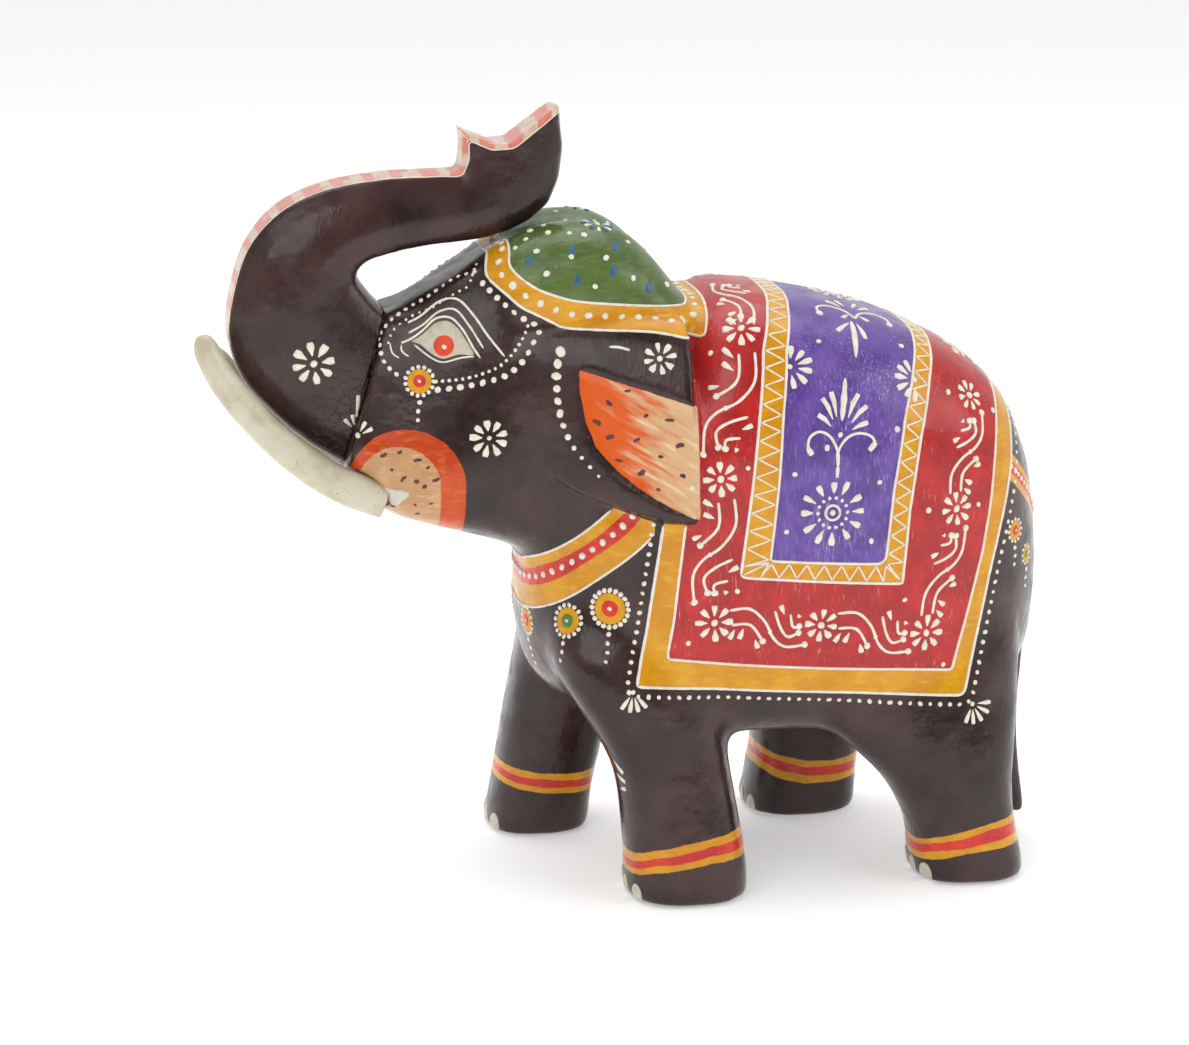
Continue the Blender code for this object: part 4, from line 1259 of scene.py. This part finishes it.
def seam_coat(relief, flank):
    """The black coat bridges the glue line on each side, so that only a faint ridge shows there."""
    relief.stroke([flank.spot(seam_x(z), z) for z in np.arange(145.0, 189.0, 1.5)], 1.9, 0.14, (0.6, 0.6))


PAINTS = {
    "white": ((0.82, 0.78, 0.67), (0.74, 0.68, 0.54)),
    "eye_white": ((0.56, 0.51, 0.40), (0.46, 0.41, 0.31)),
    "nail": ((0.62, 0.58, 0.49), (0.50, 0.45, 0.36)),
    "iris": ((0.74, 0.050, 0.004), (0.62, 0.030, 0.003)),
    "ochre": OCHRE[:2],
    "red": BRIGHT_RED[:2],
    "green": ((0.13, 0.26, 0.035), (0.08, 0.17, 0.03)),
    "blue": ((0.035, 0.14, 0.30), (0.02, 0.09, 0.20)),
    "brown": ((0.13, 0.040, 0.035), (0.05, 0.02, 0.02)),
}


def decorate(surface, body, regions, trunk, trunk_values):
    materials = {name: relief_paint(f"relief_{name}", *colours) for name, colours in PAINTS.items()}
    black = relief_paint("relief_black", *BLACK[:2])
    edges = Relief(surface)
    piping(edges, body.data, regions)
    for line in contour(trunk.data, trunk_values["face"]):
        edges.stroke(eased(line), 0.4, 0.15, (0.6, 0.6), step=1.2)
    edges.build("white_piping", materials["white"])
    for side, word in SIDES:
        flank = Flank(surface, side)
        cloth, coat = Relief(surface), Relief(surface)
        cloth_motifs(cloth, flank)
        violet_motifs(cloth, flank)
        corner_sprigs(cloth, flank)
        cloth.build(f"white_cloth_motifs_{word}", materials["white"])
        seam_coat(coat, flank)
        coat.build(f"black_seam_coat_{word}", black)
        paints = {name: Relief(surface) for name in PAINTS}
        head_motifs(paints, flank)
        cap_motifs(paints, flank)
        chest_motifs(paints, flank)
        leg_sprig(paints["white"], flank)
        filler(paints["nail"], flank)
        for name, relief in paints.items():
            kind = "head_motifs" if name == "white" else "details"
            relief.build(f"{name}_{kind}_{word}", materials[name])
    ridge, nails = Relief(surface), Relief(surface)
    big_flower(ridge, Sheet(surface, surface.above(RIDGE_FLOWER_X, 0)), 9.0)
    toenails(nails, surface)
    ridge.build("white_ridge_flower", materials["white"])
    nails.build("toenails", materials["nail"])


# ---------------------------------------------------------------- studio

FOCUS = Vector((-0.0098, 0, 0.11503))
CAMERA_AZIMUTH, CAMERA_ELEVATION, CAMERA_DISTANCE = -10, 14, 1.09095
LENS, SENSOR = 99.92, 36
# Soft lamps: name, place, size in metres, power in watts.
SOFTBOXES = (
    ("top_light", (-0.1, 0.35, 1.6), (1.8, 1.2), 12),
    ("front_light", (-1.0, -1.5, 1.3), (1.4, 1.4), 14),
    ("side_light", (1.5, -1.1, 1.0), (1.2, 1.2), 10),
)
ROOM_BEHIND, ROOM_BEFORE = 0.75, 0.20
FLOOR_SIZE, FLOOR_DROP, FLOOR_GLOW = 12, 0.0004, 0.36


def aimed(name, data, place, direction):
    """A camera or a lamp that looks in this direction."""
    obj = bpy.data.objects.new(name, data)
    obj.location = place
    obj.rotation_mode = "QUATERNION"
    obj.rotation_quaternion = direction.to_track_quat("-Z", "Y")
    bpy.context.scene.collection.objects.link(obj)
    return obj


def view_direction():
    """From the subject to the camera."""
    azimuth, elevation = math.radians(CAMERA_AZIMUTH), math.radians(CAMERA_ELEVATION)
    flat = Vector((math.sin(azimuth), -math.cos(azimuth), 0)) * math.cos(elevation)
    return flat + Z * math.sin(elevation)


def camera():
    data = bpy.data.cameras.new("camera")
    data.lens, data.sensor_width = LENS, SENSOR
    place = FOCUS + view_direction() * CAMERA_DISTANCE
    bpy.context.scene.camera = aimed("camera", data, place, -view_direction())


def softbox(name, place, size, power):
    data = bpy.data.lights.new(name, "AREA")
    data.shape = "RECTANGLE"
    data.size, data.size_y = size
    data.energy = power
    aimed(name, data, place, FOCUS - Vector(place))


def white_room():
    """Soft light from all round, weaker from the camera's side; the camera sees it plain white."""
    world = bpy.data.worlds.new("studio")
    nodes = Nodes(world)
    toward_camera = nodes.node("ShaderNodeVectorMath", operation="DOT_PRODUCT")
    nodes.feed(toward_camera.inputs[0], nodes.node("ShaderNodeTexCoord").outputs["Generated"])
    nodes.feed(toward_camera.inputs[1], view_direction())
    around = nodes.spread(toward_camera.outputs["Value"], 0.1, 0.8, ROOM_BEHIND, ROOM_BEFORE, "LINEAR")
    seen = nodes.node("ShaderNodeLightPath").outputs["Is Camera Ray"]
    strength = nodes.spread(seen, 0.0, 1.0, around, 1.0, "LINEAR")
    nodes.fill(nodes.tree.nodes["Background"], {"Color": (1, 1, 1), "Strength": strength})
    bpy.context.scene.world = world


def pale_floor():
    bpy.ops.mesh.primitive_plane_add(size=FLOOR_SIZE, location=(0, 0, -FLOOR_DROP))
    floor = bpy.context.object
    floor.name = "floor"
    material = bpy.data.materials.new("pale_floor")
    nodes = Nodes(material)
    shader = nodes.tree.nodes["Principled BSDF"]
    nodes.fill(shader, {"Base Color": (0.92, 0.92, 0.92), "Roughness": 0.9})
    nodes.fill(shader, {"Emission Color": (1, 1, 1), "Emission Strength": FLOOR_GLOW})
    floor.data.materials.append(material)


def studio():
    bpy.context.scene.view_settings.view_transform = "Standard"
    for box in SOFTBOXES:
        softbox(*box)
    white_room()
    pale_floor()
    camera()


# ---------------------------------------------------------------- the whole


def dress(obj, material):
    obj.data.materials.clear()
    obj.data.materials.append(material)


def close_seam(trunk):
    """Brings the trunk's flat end up to the face, so that only a hairline shows."""
    points = coordinates(trunk.data)
    points[:, 0] += np.where(near_seam(points), SEAM_CLOSING, 0.0)
    write_coordinates(trunk.data, points)


def tusk_stain_and_shade(points):
    """Share of brown dirt and painted shade on a tusk: most where it lies against the trunk, and round its
    root.
    """
    x, y, _ = points.T
    # Darker inward, against the trunk, and at the root, against the face: partly brown dirt, partly painted
    # shade between the parts.
    inward = np.clip((16.5 - np.abs(y)) / 5, -1, 1)
    root = np.clip((x + 90) / 8, 0, 1)
    return 0.35 * inward + 0.5 * root - 0.1


def main():
    body = carving("painted_body", "body_block", BODY_CELL, 26, 1, body_share)
    trunk = carving("painted_trunk", "trunk", TRUNK_CELL, 16, 2, trunk_share)
    tail = carving("painted_tail", "tail", TAIL_CELL, 5, 3)
    close_seam(trunk)
    regions = body_regions(coordinates(body.data))
    store(body.data, {k: v for k, v in regions.items() if k != "collar_middle"})
    trunk_values = trunk_regions(coordinates(trunk.data))
    store(trunk.data, trunk_values)
    dress(body, body_paint())
    dress(trunk, trunk_paint())
    dress(tail, tail_paint())
    ivory = tusk_paint()
    for _, word in SIDES:
        tusk = carving(f"painted_tusk_{word}", f"tusk_{word}", TUSK_CELL, 6, 4)
        store(tusk.data, {"stain_and_shade": tusk_stain_and_shade(coordinates(tusk.data))})
        dress(tusk, ivory)
    wood = bare_wood()
    for name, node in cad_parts.items():
        if "dowel" in name or "peg" in name or "pin" in name:
            dress(node, wood)
    decorate(Surface([body, trunk, tail]), body, regions, trunk, trunk_values)
    studio()


main()
